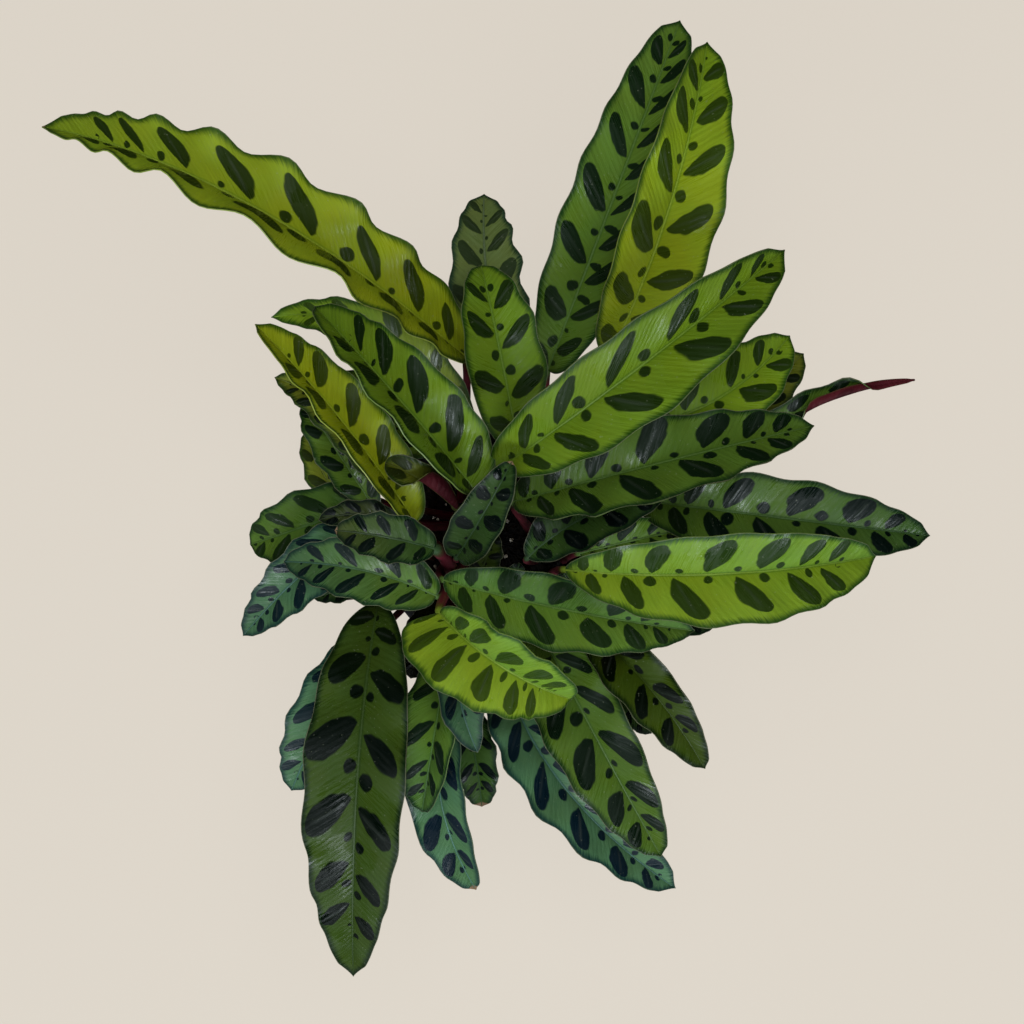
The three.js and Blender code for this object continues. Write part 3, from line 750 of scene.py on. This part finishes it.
def half_width(leaf, t, v=0):
    """Half the blade's width at t, drawn out to a short point at the very tip."""
    belly = leaf["belly"] + leaf["skew"] * np.sign(v)
    body = np.minimum(t, TIP_START)
    width = leaf["half"] * np.sin(math.pi * body ** belly) ** leaf["fullness"]
    left_over = np.clip((t - TIP_START) / (1 - TIP_START), 0, 1)
    return width * (1 - left_over) ** TIP_DRAW + LEAST_WIDTH


def midrib_length(leaf, t):
    fine = np.linspace(0, 1, 200)
    points = midrib_point(leaf, fine)
    steps = np.linalg.norm(np.diff(points, axis=0), axis=1)
    return np.interp(t, fine, np.concatenate([[0], np.cumsum(steps)]))


def mark_roots(leaf, side):
    """Lengths along the midrib at which the large marks of one side are rooted."""
    first, last, count = leaf["left_marks"] if side > 0 else leaf["right_marks"]
    step = np.linspace(0, 1, count)
    step = step - leaf["crowding"] * np.sin(2 * math.pi * step)
    return midrib_length(leaf, first + (last - first) * step)


def slanted_length(leaf, t, v):
    """Length along the midrib at which the side vein through this point leaves it."""
    return midrib_length(leaf, t) - of_side(leaf["lean"], v) * np.abs(v) * half_width(leaf, t, v)


def mark_count(leaf, t, v):
    """Counts marks along a side, going on evenly past the first and last one."""
    slanted = slanted_length(leaf, t, v)
    counts = np.zeros_like(slanted)
    for side in (-1, 1):
        roots = mark_roots(leaf, side)
        found = np.interp(slanted, roots, np.arange(len(roots)))
        before = (slanted - roots[0]) / (roots[1] - roots[0])
        after = (slanted - roots[-1]) / (roots[-1] - roots[-2]) + len(roots) - 1
        found = np.where(slanted < roots[0], before, np.where(slanted > roots[-1], after, found))
        counts = np.where(np.sign(v) == side, found, counts)
    return counts


def small_tilt(leaf, t, v):
    """How far U must be pushed back per share of reach, so that small marks stand upright."""
    beside = of_side((JUST_BESIDE, -JUST_BESIDE), v)
    marks = mark_count(leaf, t + AHEAD, beside) - mark_count(leaf, t, beside)
    per_mm = marks / (midrib_length(leaf, t + AHEAD) - midrib_length(leaf, t) + NOT_ZERO)
    return np.clip(UPRIGHT * per_mm * half_width(leaf, t, v) * of_side(leaf["lean"], v), 0, MOST_TILT)


def half_section(leaf, t, v, width):
    """Across and up, in millimetres, of a point on one half's arc."""
    side = np.where(v < 0, -1.0, 1.0)
    rise = leaf["fold"] + side * leaf["roll"] - ARCH / 2
    begins, complete, slope, curl = (of_side(pair, v) for pair in zip(*leaf["rolled"]))
    rolled = np.clip((t - begins) / (complete - begins), 0, 1)
    rolled = rolled * rolled * (3 - 2 * rolled)
    start = np.radians(rise * (1 - rolled) + slope * rolled)
    turn = np.radians(ARCH * (1 - rolled) + curl * rolled)
    turn = np.where(np.abs(turn) < LEAST_CURL, LEAST_CURL, turn)
    end = start + turn * np.abs(v)
    across = side * width * (np.sin(end) - np.sin(start)) / turn
    return across, width * (np.cos(start) - np.cos(end)) / turn, end, rolled


def blade_point(leaf, t, v):
    left, up = blade_frame(leaf, t)
    side = np.where(v < 0, -1.0, 1.0)
    share = np.abs(v)
    width = half_width(leaf, t, v)
    fade = np.sin(math.pi * t)
    beside_count = mark_count(leaf, t, side)
    last = of_side((leaf["left_marks"][2], leaf["right_marks"][2]), v) - 1
    past = np.maximum(beside_count - last, -beside_count)
    beside = np.cos(2 * math.pi * beside_count) * np.clip(BEYOND_MARKS - past, 0, 1)
    fade = fade * np.clip(NARROW_FADE * width / leaf["half"], 0, 1)
    scallop = of_side(leaf["scallop"], v) * beside * share ** 2 * fade
    across, height, slope, rolled = half_section(leaf, t, v, width + scallop)
    crest = (side * np.cos(2 * math.pi * leaf["ripples"] * t) + beside) / 2
    lift = leaf["ripple"] * crest * share ** RIPPLE_RISE * fade
    along_mark = np.cos(2 * math.pi * mark_count(leaf, t, np.where(v == 0, JUST_BESIDE, v)))
    pillow = PILLOW * along_mark * np.sin(math.pi * share) * width / leaf["half"]
    lift = (lift + of_side(leaf["flare"], v) * scallop + pillow) * (1 - rolled)
    across = across - side * lift * np.sin(slope)
    height = height + lift * np.cos(slope)
    back = of_side(leaf["lobe"], v) * share * width * (1 - t) ** 2
    point = midrib_point(leaf, t) - midrib_tangent(leaf, t) * back[..., None]
    return point + left * across[..., None] + up * height[..., None]


longest = max(leaves, key=lambda leaf: midrib_length(leaf, 1.0))
print("longest blade:", longest["place"], round(float(midrib_length(longest, 1.0))), "mm")

# %% [markdown]
# A blade starts as a flat grid. Its columns are the places across, close together at the midrib
# and the margins, and its rows run along it, closer at both ends. Every point is then moved onto
# the formula's surface, which no bending tool could do leaf by leaf. The two maps and the
# attributes are written while the grid is still one sheet, and Solidify gives it a thickness,
# with a second material below and a third on the rim.

# %% Blade mesh
COLUMNS = np.array([0, 0.03, 0.07, 0.13, 0.21, 0.30, 0.40, 0.50, 0.60, 0.70, 0.79, 0.87, 0.93, 0.97, 1.0])
COLUMNS = np.concatenate([-COLUMNS[:0:-1], COLUMNS])
ROW_STEP, LEAST_ROWS = 2.3, 24
BLADE_THICKNESS = 0.55
END_CROWDING = 0.11
FIRST_ROW = 0.001
TONE_TURN = 1.2
DEPTH_AT_BASE, DEPTH_GAIN = 0.4, 2
MARK_FREE = 0.62
LEAF_COUNT_STEP, LEAF_VEIN_STEP = 40, 300
DRY_LENGTH, NEVER_DRY = 0.03, 1.2
DRY_TIPS = {"21_s_blunt": 0.955, "34_w_small": 0.97, "38_crown": 0.97, "01_nw_long": 0.99, "19_s_low": 0.97}
BLADE_MATERIALS = (LEAF_TOP, LEAF_UNDER, LEAF_EDGE, STALK)


def only(piece):
    """Selects this piece alone, so that the next operator acts on nothing else."""
    bpy.ops.object.select_all(action="DESELECT")
    piece.select_set(True)
    bpy.context.view_layer.objects.active = piece


def add_shape(add, **settings):
    """Adds a basic shape with nothing else selected."""
    bpy.ops.object.select_all(action="DESELECT")
    add(**settings)
    return bpy.context.object


def vertex_places(mesh):
    return np.array([vertex.co for vertex in mesh.vertices])


def move_vertices(mesh, places):
    """Moves every vertex to its place in millimetres."""
    mesh.vertices.foreach_set("co", (places * MM).astype(np.float32).ravel())


def float_attribute(mesh, name, values):
    layer = mesh.attributes.new(name, "FLOAT", "POINT")
    layer.data.foreach_set("value", np.asarray(values, np.float32))


def tone_attribute(mesh, leaf, share, sheen_tint=1):
    """Mixes the leaf's base tone into its tip tone along it, times a tint that paints a bluish sheen on one
    half.
    """
    base, tip = np.array(TONES[leaf["tone"]]), np.array(TONES[leaf["tip_tone"]])
    share = np.clip(share, 0, 1)[:, None] ** TONE_TURN
    colours = np.ones((len(mesh.vertices), 4), np.float32)
    # shade scales the tone: partly the leaf's own brightness, partly painted light and shade.
    colours[:, :3] = leaf["shade"] * (base * (1 - share) + tip * share) * sheen_tint
    layer = mesh.attributes.new("tone", "FLOAT_COLOR", "POINT")
    layer.data.foreach_set("color", colours.ravel())


def blade_maps(mesh, leaf, order, t, v):
    """Writes both maps, corner by corner, so that the midrib can belong to either side."""
    corner_vertex = np.empty(len(mesh.loops), int)
    mesh.loops.foreach_get("vertex_index", corner_vertex)
    faces = np.repeat(np.arange(len(mesh.polygons)), 4)
    corner_t, corner_v = t[corner_vertex], v[corner_vertex]
    side = np.sign(np.bincount(faces, corner_v))[faces]
    held = np.where(corner_v == 0, side * JUST_BESIDE, corner_v)
    counts = mark_count(leaf, corner_t, held)
    share = held.copy()
    for this_side in (-1, 1):
        last = len(mark_roots(leaf, this_side)) - 1 + MARK_FREE
        free = (side == this_side) & ((counts < -MARK_FREE) | (counts > last))
        share[free] = this_side
    marks = mesh.uv_layers.new(name="marks")
    marks.data.foreach_set("uv", np.stack([counts + LEAF_COUNT_STEP * order, share], 1).ravel())
    slanted = slanted_length(leaf, corner_t, held)
    veins = mesh.uv_layers.new(name="veins")
    across = held * half_width(leaf, corner_t, held)
    veins.data.foreach_set("uv", np.stack([slanted + LEAF_VEIN_STEP * order, across], 1).ravel())


def make_blade(leaf, order):
    length = float(midrib_length(leaf, 1.0))
    rows = max(LEAST_ROWS, round(length / ROW_STEP))
    columns = len(COLUMNS) - 1
    piece = add_shape(bpy.ops.mesh.primitive_grid_add, x_subdivisions=columns, y_subdivisions=rows, size=2)
    mesh = piece.data
    flat = vertex_places(mesh)
    column = np.rint((flat[:, 0] + 1) / 2 * columns).astype(int)
    step = np.rint((flat[:, 1] + 1) / 2 * rows) / rows
    v = COLUMNS[column]
    t = FIRST_ROW + (1 - FIRST_ROW) * (step - END_CROWDING * np.sin(2 * math.pi * step))
    move_vertices(mesh, blade_point(leaf, t, v))
    mesh.update()
    float_attribute(mesh, "reach", np.abs(v))
    float_attribute(mesh, "inset", (1 - np.abs(v)) * half_width(leaf, t, v))
    looks = [np.array((leaf["small"], leaf["width"][side], leaf["extent"][side])) for side in (0, 1)]
    look = of_side(looks, v[:, None]).astype(np.float32)
    mesh.attributes.new("look", "FLOAT_VECTOR", "POINT").data.foreach_set("vector", look.ravel())
    float_attribute(mesh, "tilt", small_tilt(leaf, t, v))
    float_attribute(mesh, "depth", leaf["depth"] * np.clip(DEPTH_AT_BASE + DEPTH_GAIN * t, 0, 1))
    dry_from = DRY_TIPS.get(leaf["place"], NEVER_DRY)
    float_attribute(mesh, "dry", np.clip((t - dry_from) / DRY_LENGTH * 0.5 + 0.5, 0, 1))
    float_attribute(mesh, "along", 1 + t)
    # The left half gets a painted bluish sheen through its tint.
    tone_attribute(mesh, leaf, t, np.where(v[:, None] > 0, leaf["left_sheen_tint"], 1))
    blade_maps(mesh, leaf, order, t, v)
    if mesh.polygons[len(mesh.polygons) // 2].normal.z < 0:
        mesh.flip_normals()
    for material in BLADE_MATERIALS:
        mesh.materials.append(material)
    solid = piece.modifiers.new("thickness", "SOLIDIFY")
    solid.thickness = BLADE_THICKNESS * MM
    solid.offset = -1
    solid.material_offset = 1
    solid.material_offset_rim = 2
    only(piece)
    bpy.ops.object.modifier_apply(modifier=solid.name)
    return piece


print(len(COLUMNS), "columns across each blade")

# %% [markdown]
# The stalk and the midrib are one tapering tube. A curve with a round bevel is the natural tool:
# its points follow the stalk's bend and then the blade's midrib, and each point has its own
# radius, thick in the soil, thin in the middle, swollen at the joint and fine at the tip. The
# tube lies just under the blade's surface, so that on top it shows as a low rib.

# %% Stalk mesh
SOIL_TOP = 90
STALK_ROOT = 84
RING_SPACING = 5.6
STALK_LEAD = 12
STALK_POINTS = 16
RIB_POINTS = 34
STALK_RADIUS, STALK_PER_HALF, ROOT_FLARE = 1.35, 0.02, 0.9
RIB_RADIUS, RIB_PER_HALF, RIB_TAPER, RIB_TIP = 0.35, 0.032, 0.8, 0.22
RIB_RAISE = 0.45
RIB_ENDS = 0.985
JOINT_RADIUS = 1.7
JOINT_FROM, JOINT_GROWS, JOINT_ENDS = 0.86, 0.12, 0.04
THICK_STALKS = {"34_w_small": 2.1, "26_nw_main": 1.25, "15_se_broad": 1.2}


def stalk_path(leaf):
    """Points of the stalk from the soil to the blade, and of the midrib, with their radii."""
    angle = math.radians(leaf["bearing"])
    ring = leaf["ring"] * RING_SPACING
    x, y = leaf["clump"]
    root = np.array([x + ring * math.cos(angle), y + ring * math.sin(angle), STALK_ROOT])
    start = midrib_point(leaf, 0.0)
    arrival = unit(midrib_tangent(leaf, 0.0) + [0, 0, 1])
    lead = start - STALK_LEAD * arrival
    s = np.linspace(0, 1, STALK_POINTS)[:-1, None]
    stalk = (1 - s) ** 2 * root + 2 * s * (1 - s) * lead + s ** 2 * start
    thick = THICK_STALKS.get(leaf["place"], 1.0)
    slim = STALK_RADIUS + STALK_PER_HALF * leaf["half"]
    shares = s[:, 0]
    stalk_radius = thick * (slim + ROOT_FLARE * (1 - shares) ** 3)
    joint = JOINT_RADIUS * math.sqrt(thick)
    stalk_radius += (joint - thick * slim) * np.clip((shares - JOINT_FROM) / JOINT_GROWS, 0, 1)
    t = np.linspace(0, RIB_ENDS, RIB_POINTS)
    rib_radius = (RIB_RADIUS + RIB_PER_HALF * leaf["half"]) * (1 - t) ** RIB_TAPER + RIB_TIP
    rib_radius += (joint - rib_radius[0]) * np.clip(1 - t / JOINT_ENDS, 0, 1)
    _, up = blade_frame(leaf, t)
    rib = midrib_point(leaf, t) - up * (rib_radius - RIB_RAISE)[:, None]
    points = np.concatenate([stalk, rib])
    radii = np.concatenate([stalk_radius, rib_radius])
    along = np.concatenate([shares, 1 + t])
    return points, radii, along


def make_stalk(leaf):
    points, radii, along = stalk_path(leaf)
    curve = bpy.data.curves.new("stalk_" + leaf["place"], "CURVE")
    curve.dimensions = "3D"
    curve.bevel_depth = MM
    curve.bevel_resolution = 2
    curve.use_fill_caps = True
    spline = curve.splines.new("POLY")
    spline.points.add(len(points) - 1)
    for handle, point, radius in zip(spline.points, points * MM, radii):
        handle.co = (*point, 1)
        handle.radius = radius
    only(new_object(curve.name, curve))
    bpy.ops.object.convert(target="MESH")
    piece = bpy.context.object
    mesh = piece.data
    sides = len(mesh.vertices) // len(points)
    ring = np.minimum(np.arange(len(mesh.vertices)) // sides, len(points) - 1)
    float_attribute(mesh, "along", along[ring])
    tone_attribute(mesh, leaf, along[ring] - 1)
    for material in BLADE_MATERIALS:
        mesh.materials.append(material)
    for face in mesh.polygons:
        face.material_index = BLADE_MATERIALS.index(STALK)
    return piece


print("stalks have", STALK_POINTS + RIB_POINTS - 1, "rings")

# %% [markdown]
# Blade and stalk grow as one, so they are joined into one piece, which stands for the frame's
# plain leaf. Smooth shading with a sharp rim keeps the thin margin crisp.

# %% Grow every leaf
SHARP_RIM = math.radians(50)


def make_leaf(leaf, order):
    blade = make_blade(leaf, order)
    stalk = make_stalk(leaf)
    only(blade)
    stalk.select_set(True)
    bpy.ops.object.join()
    blade.name = f"leaf_{leaf['place']}_grown"
    blade.data.name = blade.name
    only(blade)
    bpy.ops.object.shade_smooth_by_angle(angle=SHARP_RIM)
    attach(blade, "root")
    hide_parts("leaf_" + leaf["place"])
    return blade


grown = [make_leaf(leaf, order) for order, leaf in enumerate(leaves)]
print(len(grown), "leaves,", sum(len(piece.data.polygons) for piece in grown), "faces")

# %% [markdown]
# Potting soil is dark crumbs with white grains of perlite. A displaced disc alone looks like
# tarmac, so the soil is three things: a mound whose surface is pushed up and down by noise, a few
# hundred dark crumbs, and some pale grains, all with few faces each.

# %% Soil materials
PEAT, PEAT_BROWN, PEAT_FIBRE = (0.0016, 0.0014, 0.0012), (0.009, 0.0065, 0.0045), (0.022, 0.014, 0.008)
PERLITE_SHADE, PERLITE_WHITE = (0.30, 0.26, 0.20), (0.62, 0.58, 0.50)


def soil_material():
    material, t, shader = new_material("soil", roughness=0.95, specular=0.2)
    place = object_place(t)
    crumbs = noise(t, place, 420, 4)
    colour = blend(t, ramp(t, crumbs, 0.35, 0.7), PEAT, PEAT_BROWN)
    fibre = ramp(t, noise(t, place, 160, 5), 0.62, 0.72)
    put(t, shader["Base Color"], blend(t, fibre, colour, PEAT_FIBRE))
    put(t, shader["Roughness"], times_plus(t, crumbs, 0.3, 0.7))
    put(t, shader["Normal"], bump(t, crumbs, 0.0012))
    return material


def perlite_material():
    material, t, shader = new_material("perlite", roughness=0.85, specular=0.36)
    place = object_place(t)
    grain = noise(t, place, 700, 3)
    colour = blend(t, ramp(t, grain, 0.35, 0.65), PERLITE_SHADE, PERLITE_WHITE)
    put(t, shader["Base Color"], colour)
    put(t, shader["Normal"], bump(t, grain, 0.0006))
    return material


SOIL = soil_material()
PERLITE = perlite_material()
print("soil and perlite ready")

# %% Soil mesh
POT_HEIGHT, POT_TOP_RADIUS, POT_FOOT_RADIUS, POT_WALL = 100, 60, 43, 1.6
SOIL_DEPTH, SOIL_RINGS, SOIL_PLAY = 12, 28, 0.3
SOIL_SINK, SOIL_WAVES, SOIL_ROUGH = 1.5, 0.7, 0.5
CRUMBS, CRUMB_SIZES, CRUMB_FLAT = 420, (0.5, 1.6), 0.8
GRAINS, GRAIN_SIZES, GRAIN_FLAT = 70, (0.5, 1.5), 0.9
STONE_STRETCH, STONE_ROUGH, STONE_LIFT = (0.7, 1.3), (0.8, 1.15), 0.25
WALL_MARGIN = 3
random = np.random.default_rng(7)


def pot_inner_radius(z):
    return POT_FOOT_RADIUS + (POT_TOP_RADIUS - POT_FOOT_RADIUS) * z / POT_HEIGHT - POT_WALL


def ground_height(x, y):
    """Uneven top of the soil, in millimetres, at most at the frame's soil level."""
    waves = np.sin(x * 0.21 + 1.3) * np.cos(y * 0.17) + 0.6 * np.sin(x * 0.47 - y * 0.39)
    return SOIL_TOP - SOIL_SINK + SOIL_WAVES * waves


def make_soil():
    radius = pot_inner_radius(SOIL_TOP) - SOIL_PLAY
    piece = add_shape(bpy.ops.mesh.primitive_cylinder_add, vertices=96, radius=radius * MM,
                      depth=SOIL_DEPTH * MM, location=(0, 0, (SOIL_TOP - SOIL_DEPTH / 2) * MM))
    only(piece)
    bpy.ops.object.transform_apply(location=True, rotation=False, scale=False)
    bpy.ops.object.mode_set(mode="EDIT")
    bpy.ops.mesh.select_all(action="DESELECT")
    bpy.ops.object.mode_set(mode="OBJECT")
    for face in piece.data.polygons:
        face.select = face.normal.z > 0.9
    bpy.ops.object.mode_set(mode="EDIT")
    for ring in range(SOIL_RINGS):
        bpy.ops.mesh.inset(thickness=radius / (SOIL_RINGS + 2) * MM)
    bpy.ops.object.mode_set(mode="OBJECT")
    co = vertex_places(piece.data) / MM
    top = co[:, 2] > SOIL_TOP - 1
    co[top, 2] = ground_height(co[top, 0], co[top, 1]) + random.uniform(-SOIL_ROUGH, SOIL_ROUGH, top.sum())
    move_vertices(piece.data, co)
    piece.data.materials.append(SOIL)
    piece.name = "potting_soil"
    return piece


def scatter(name, count, sizes, material, flat):
    """Copies one rough little stone all over the soil, each turned and squashed its own way."""
    seed_piece = add_shape(bpy.ops.mesh.primitive_ico_sphere_add, subdivisions=1, radius=1)
    shape = vertex_places(seed_piece.data)
    faces = np.array([list(face.vertices) for face in seed_piece.data.polygons])
    bpy.data.objects.remove(seed_piece)
    points, all_faces = [], []
    for index in range(count):
        size = random.uniform(*sizes)
        spot = np.sqrt(random.uniform(0, 1)) * (pot_inner_radius(SOIL_TOP) - WALL_MARGIN)
        turn = random.uniform(0, 2 * math.pi)
        x, y = spot * math.cos(turn), spot * math.sin(turn)
        stretch = random.uniform(*STONE_STRETCH, 3) * [1, 1, flat]
        axis = unit(random.normal(size=3))
        side = unit(np.cross(axis, random.normal(size=3)))
        turned = np.stack([axis, side, np.cross(axis, side)])
        rough = shape * random.uniform(*STONE_ROUGH, (len(shape), 1))
        lifted = ((rough * stretch) @ turned) * size + [x, y, ground_height(x, y) + STONE_LIFT * size]
        points.append(lifted)
        all_faces.append(faces + index * len(shape))
    mesh = bpy.data.meshes.new(name)
    mesh.from_pydata(np.concatenate(points) * MM, [], np.concatenate(all_faces).tolist())
    mesh.materials.append(material)
    return new_object(name, mesh)


soil = make_soil()
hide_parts("soil")
crumb_piece = scatter("soil_crumbs", CRUMBS, CRUMB_SIZES, SOIL, CRUMB_FLAT)
grain_piece = scatter("perlite_grains", GRAINS, GRAIN_SIZES, PERLITE, GRAIN_FLAT)
for piece in (soil, crumb_piece, grain_piece):
    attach(piece, "root")
print("soil with", CRUMBS, "crumbs and", GRAINS, "white grains")

# %% [markdown]
# The pot is a thin plastic cup with a turned-down rim, made on a machine as a body of revolution.
# Its outline is drawn once and spun round the upright axis, and a bevel softens the moulded edges.
# The drain holes are cut out of the floor with six round cutters.

# %% Pot material
PLASTIC, DUST = (0.010, 0.010, 0.011), (0.030, 0.028, 0.026)
FOOT_DIRT, SCUFF = (0.05, 0.043, 0.035), (0.06, 0.058, 0.055)


def pot_material():
    material, t, shader = new_material("pot_plastic", roughness=0.5, specular=0.4)
    place = object_place(t)
    x, y, z = split(t, place)
    rings = noise(t, combine(t, 0.0, 0.0, times(t, z, 900)), 1.0, 2)
    dust = noise(t, place, 35, 4)
    scuff = ramp(t, noise(t, place, 260, 5), 0.60, 0.72)
    colour = blend(t, ramp(t, dust, 0.45, 0.75, 0.0, 0.5), PLASTIC, DUST)
    foot = ramp(t, z, 0.0, 0.02, 0.4, 0.0)
    colour = blend(t, foot, colour, FOOT_DIRT)
    put(t, shader["Base Color"], blend(t, times(t, scuff, 0.35), colour, SCUFF))
    put(t, shader["Roughness"], times_plus(t, scuff, 0.2, times_plus(t, dust, 0.2, 0.33)))
    relief = plus(t, times(t, rings, 0.5), noise(t, place, 1800, 2))
    put(t, shader["Normal"], bump(t, relief, 0.00012))
    return material


POT_PLASTIC = pot_material()
print("pot plastic ready")

# %% Pot mesh
POT_FLOOR, FOOT_RISE, FOOT_RING, FOOT_SLOPE = 2.4, 1.2, 4, 2
RIM_REACH, RIM_SKIRT, RIM_SLOPE, SKIRT_INSET, SKIRT_RISE = 3, 9, 1.5, 0.8, 1.2
SPIN_STEPS = 96
EDGE_BEVEL, BEVEL_STEPS = 0.45, 3
BEVEL_FROM, SMOOTH_BELOW = math.radians(35), math.radians(40)
DRAIN_HOLES, DRAIN_RADIUS, DRAIN_RING, CUTTER_DEPTH = 6, 5, 27, 12


def pot_profile():
    """Outline of the wall's section from the axis under the foot, up outside and down inside."""
    outer = POT_TOP_RADIUS - POT_WALL
    step = POT_HEIGHT - RIM_SKIRT
    rim = POT_TOP_RADIUS + RIM_REACH
    foot = POT_FOOT_RADIUS - FOOT_RING
    return [
        (0.0, FOOT_RISE), (foot - FOOT_SLOPE, FOOT_RISE), (foot, 0), (POT_FOOT_RADIUS, 0), (outer, step),
        (rim - SKIRT_INSET, step), (rim - SKIRT_INSET, step + SKIRT_RISE), (rim, POT_HEIGHT - RIM_SLOPE),
        (rim, POT_HEIGHT), (outer, POT_HEIGHT), (pot_inner_radius(POT_FLOOR), POT_FLOOR), (0.0, POT_FLOOR),
    ]


def make_pot():
    mesh = bpy.data.meshes.new("nursery_pot")
    profile = pot_profile()
    edges = [(i, i + 1) for i in range(len(profile) - 1)]
    mesh.from_pydata([(r * MM, 0, z * MM) for r, z in profile], edges, [])
    piece = new_object("nursery_pot", mesh)
    only(piece)
    bpy.ops.object.mode_set(mode="EDIT")
    bpy.ops.mesh.select_all(action="SELECT")
    bpy.ops.mesh.spin(steps=SPIN_STEPS, angle=2 * math.pi, center=(0, 0, 0), axis=(0, 0, 1))
    bpy.ops.mesh.select_all(action="SELECT")
    bpy.ops.mesh.remove_doubles(threshold=0.01 * MM)
    bpy.ops.mesh.normals_make_consistent(inside=False)
    bpy.ops.object.mode_set(mode="OBJECT")
    for hole in range(DRAIN_HOLES):
        angle = 2 * math.pi * hole / DRAIN_HOLES
        place = (DRAIN_RING * math.cos(angle) * MM, DRAIN_RING * math.sin(angle) * MM, 0)
        cutter = add_shape(bpy.ops.mesh.primitive_cylinder_add, vertices=32,
                           radius=DRAIN_RADIUS * MM, depth=CUTTER_DEPTH * MM, location=place)
        cut = piece.modifiers.new("drain", "BOOLEAN")
        cut.operation = "DIFFERENCE"
        cut.solver = "EXACT"
        cut.object = cutter
        only(piece)
        bpy.ops.object.modifier_apply(modifier=cut.name)
        bpy.data.objects.remove(cutter)
    soft = piece.modifiers.new("moulded_edges", "BEVEL")
    soft.width = EDGE_BEVEL * MM
    soft.segments = BEVEL_STEPS
    soft.limit_method = "ANGLE"
    soft.angle_limit = BEVEL_FROM
    bpy.ops.object.modifier_apply(modifier=soft.name)
    bpy.ops.object.shade_smooth_by_angle(angle=SMOOTH_BELOW)
    piece.data.materials.append(POT_PLASTIC)
    return piece


pot = make_pot()
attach(pot, "root")
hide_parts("pot")
print("pot:", len(pot.data.polygons), "faces")

# %% [markdown]
# The floor is a plain pale sheet, and the space behind it has the same pale tone. Both are bright
# only for the camera: the light that they send up into the plant is weak, so that the gaps between
# the leaves stay dark. Most of the light comes from a wide soft lamp at the ceiling. It is kept out
# of the gloss, because every flat leaf would mirror it. What the leaves do mirror is two windows
# low in the picture, a little blue, which put a sheen on the blade halves that lean that way. Two
# weak lamps fill in the shade on the far sides.

# %% Floor and light
BACKDROP = (0.723, 0.665, 0.584)
FLOOR_SHARE = 0.11
FLOOR_GLOW = 0.88
FLOOR_SIZE = 60
WORLD_LIGHT = (0.006, 0.0065, 0.007)
SKY_BLUE, NEUTRAL, WARM = (0.86, 0.95, 1.0), (1.0, 0.99, 0.95), (1.0, 0.98, 0.93)
HORIZON = tuple(FLOOR_GLOW * c for c in BACKDROP)


def stage_material():
    material, t, shader = new_material("pale_floor", roughness=0.9, specular=0.1)
    put(t, shader["Base Color"], tuple(FLOOR_SHARE * c for c in BACKDROP))
    shader["Emission Color"].default_value = (*BACKDROP, 1)
    put(t, shader["Emission Strength"], times(t, camera_ray(t), FLOOR_GLOW))
    return material


floor = add_shape(bpy.ops.mesh.primitive_plane_add, size=FLOOR_SIZE)
floor.name = "pale_floor"
floor.data.materials.append(stage_material())


def soft_light(name, place, size, power, colour, mirrored):
    """A round lamp that points at the plant. Only one that is mirrored shows in the gloss."""
    data = bpy.data.lights.new(name, "AREA")
    data.shape = "DISK"
    data.size = size
    data.energy = power
    data.color = colour
    light = new_object(name, data)
    light.location = place
    light.rotation_euler = (-light.location).to_track_quat("-Z", "Y").to_euler()
    light.visible_camera = False
    light.visible_glossy = mirrored


soft_light("window", (-0.45, -1.45, 1.05), 0.9, 23, SKY_BLUE, True)
soft_light("side_window", (0.85, -1.35, 0.80), 0.7, 9, SKY_BLUE, True)
soft_light("ceiling", (0.1, 0.2, 2.4), 1.3, 37, NEUTRAL, False)
soft_light("left_fill", (-1.35, 0.55, 1.0), 1.0, 3, WARM, False)
soft_light("right_fill", (1.3, 0.7, 1.0), 1.0, 3, WARM, False)


def studio_world():
    world = bpy.data.worlds.new("studio")
    world.use_nodes = True
    t = world.node_tree
    ground = t.nodes["Background"]
    put(t, ground.inputs["Color"], blend(t, camera_ray(t), WORLD_LIGHT, HORIZON))
    return world


bpy.context.scene.world = studio_world()
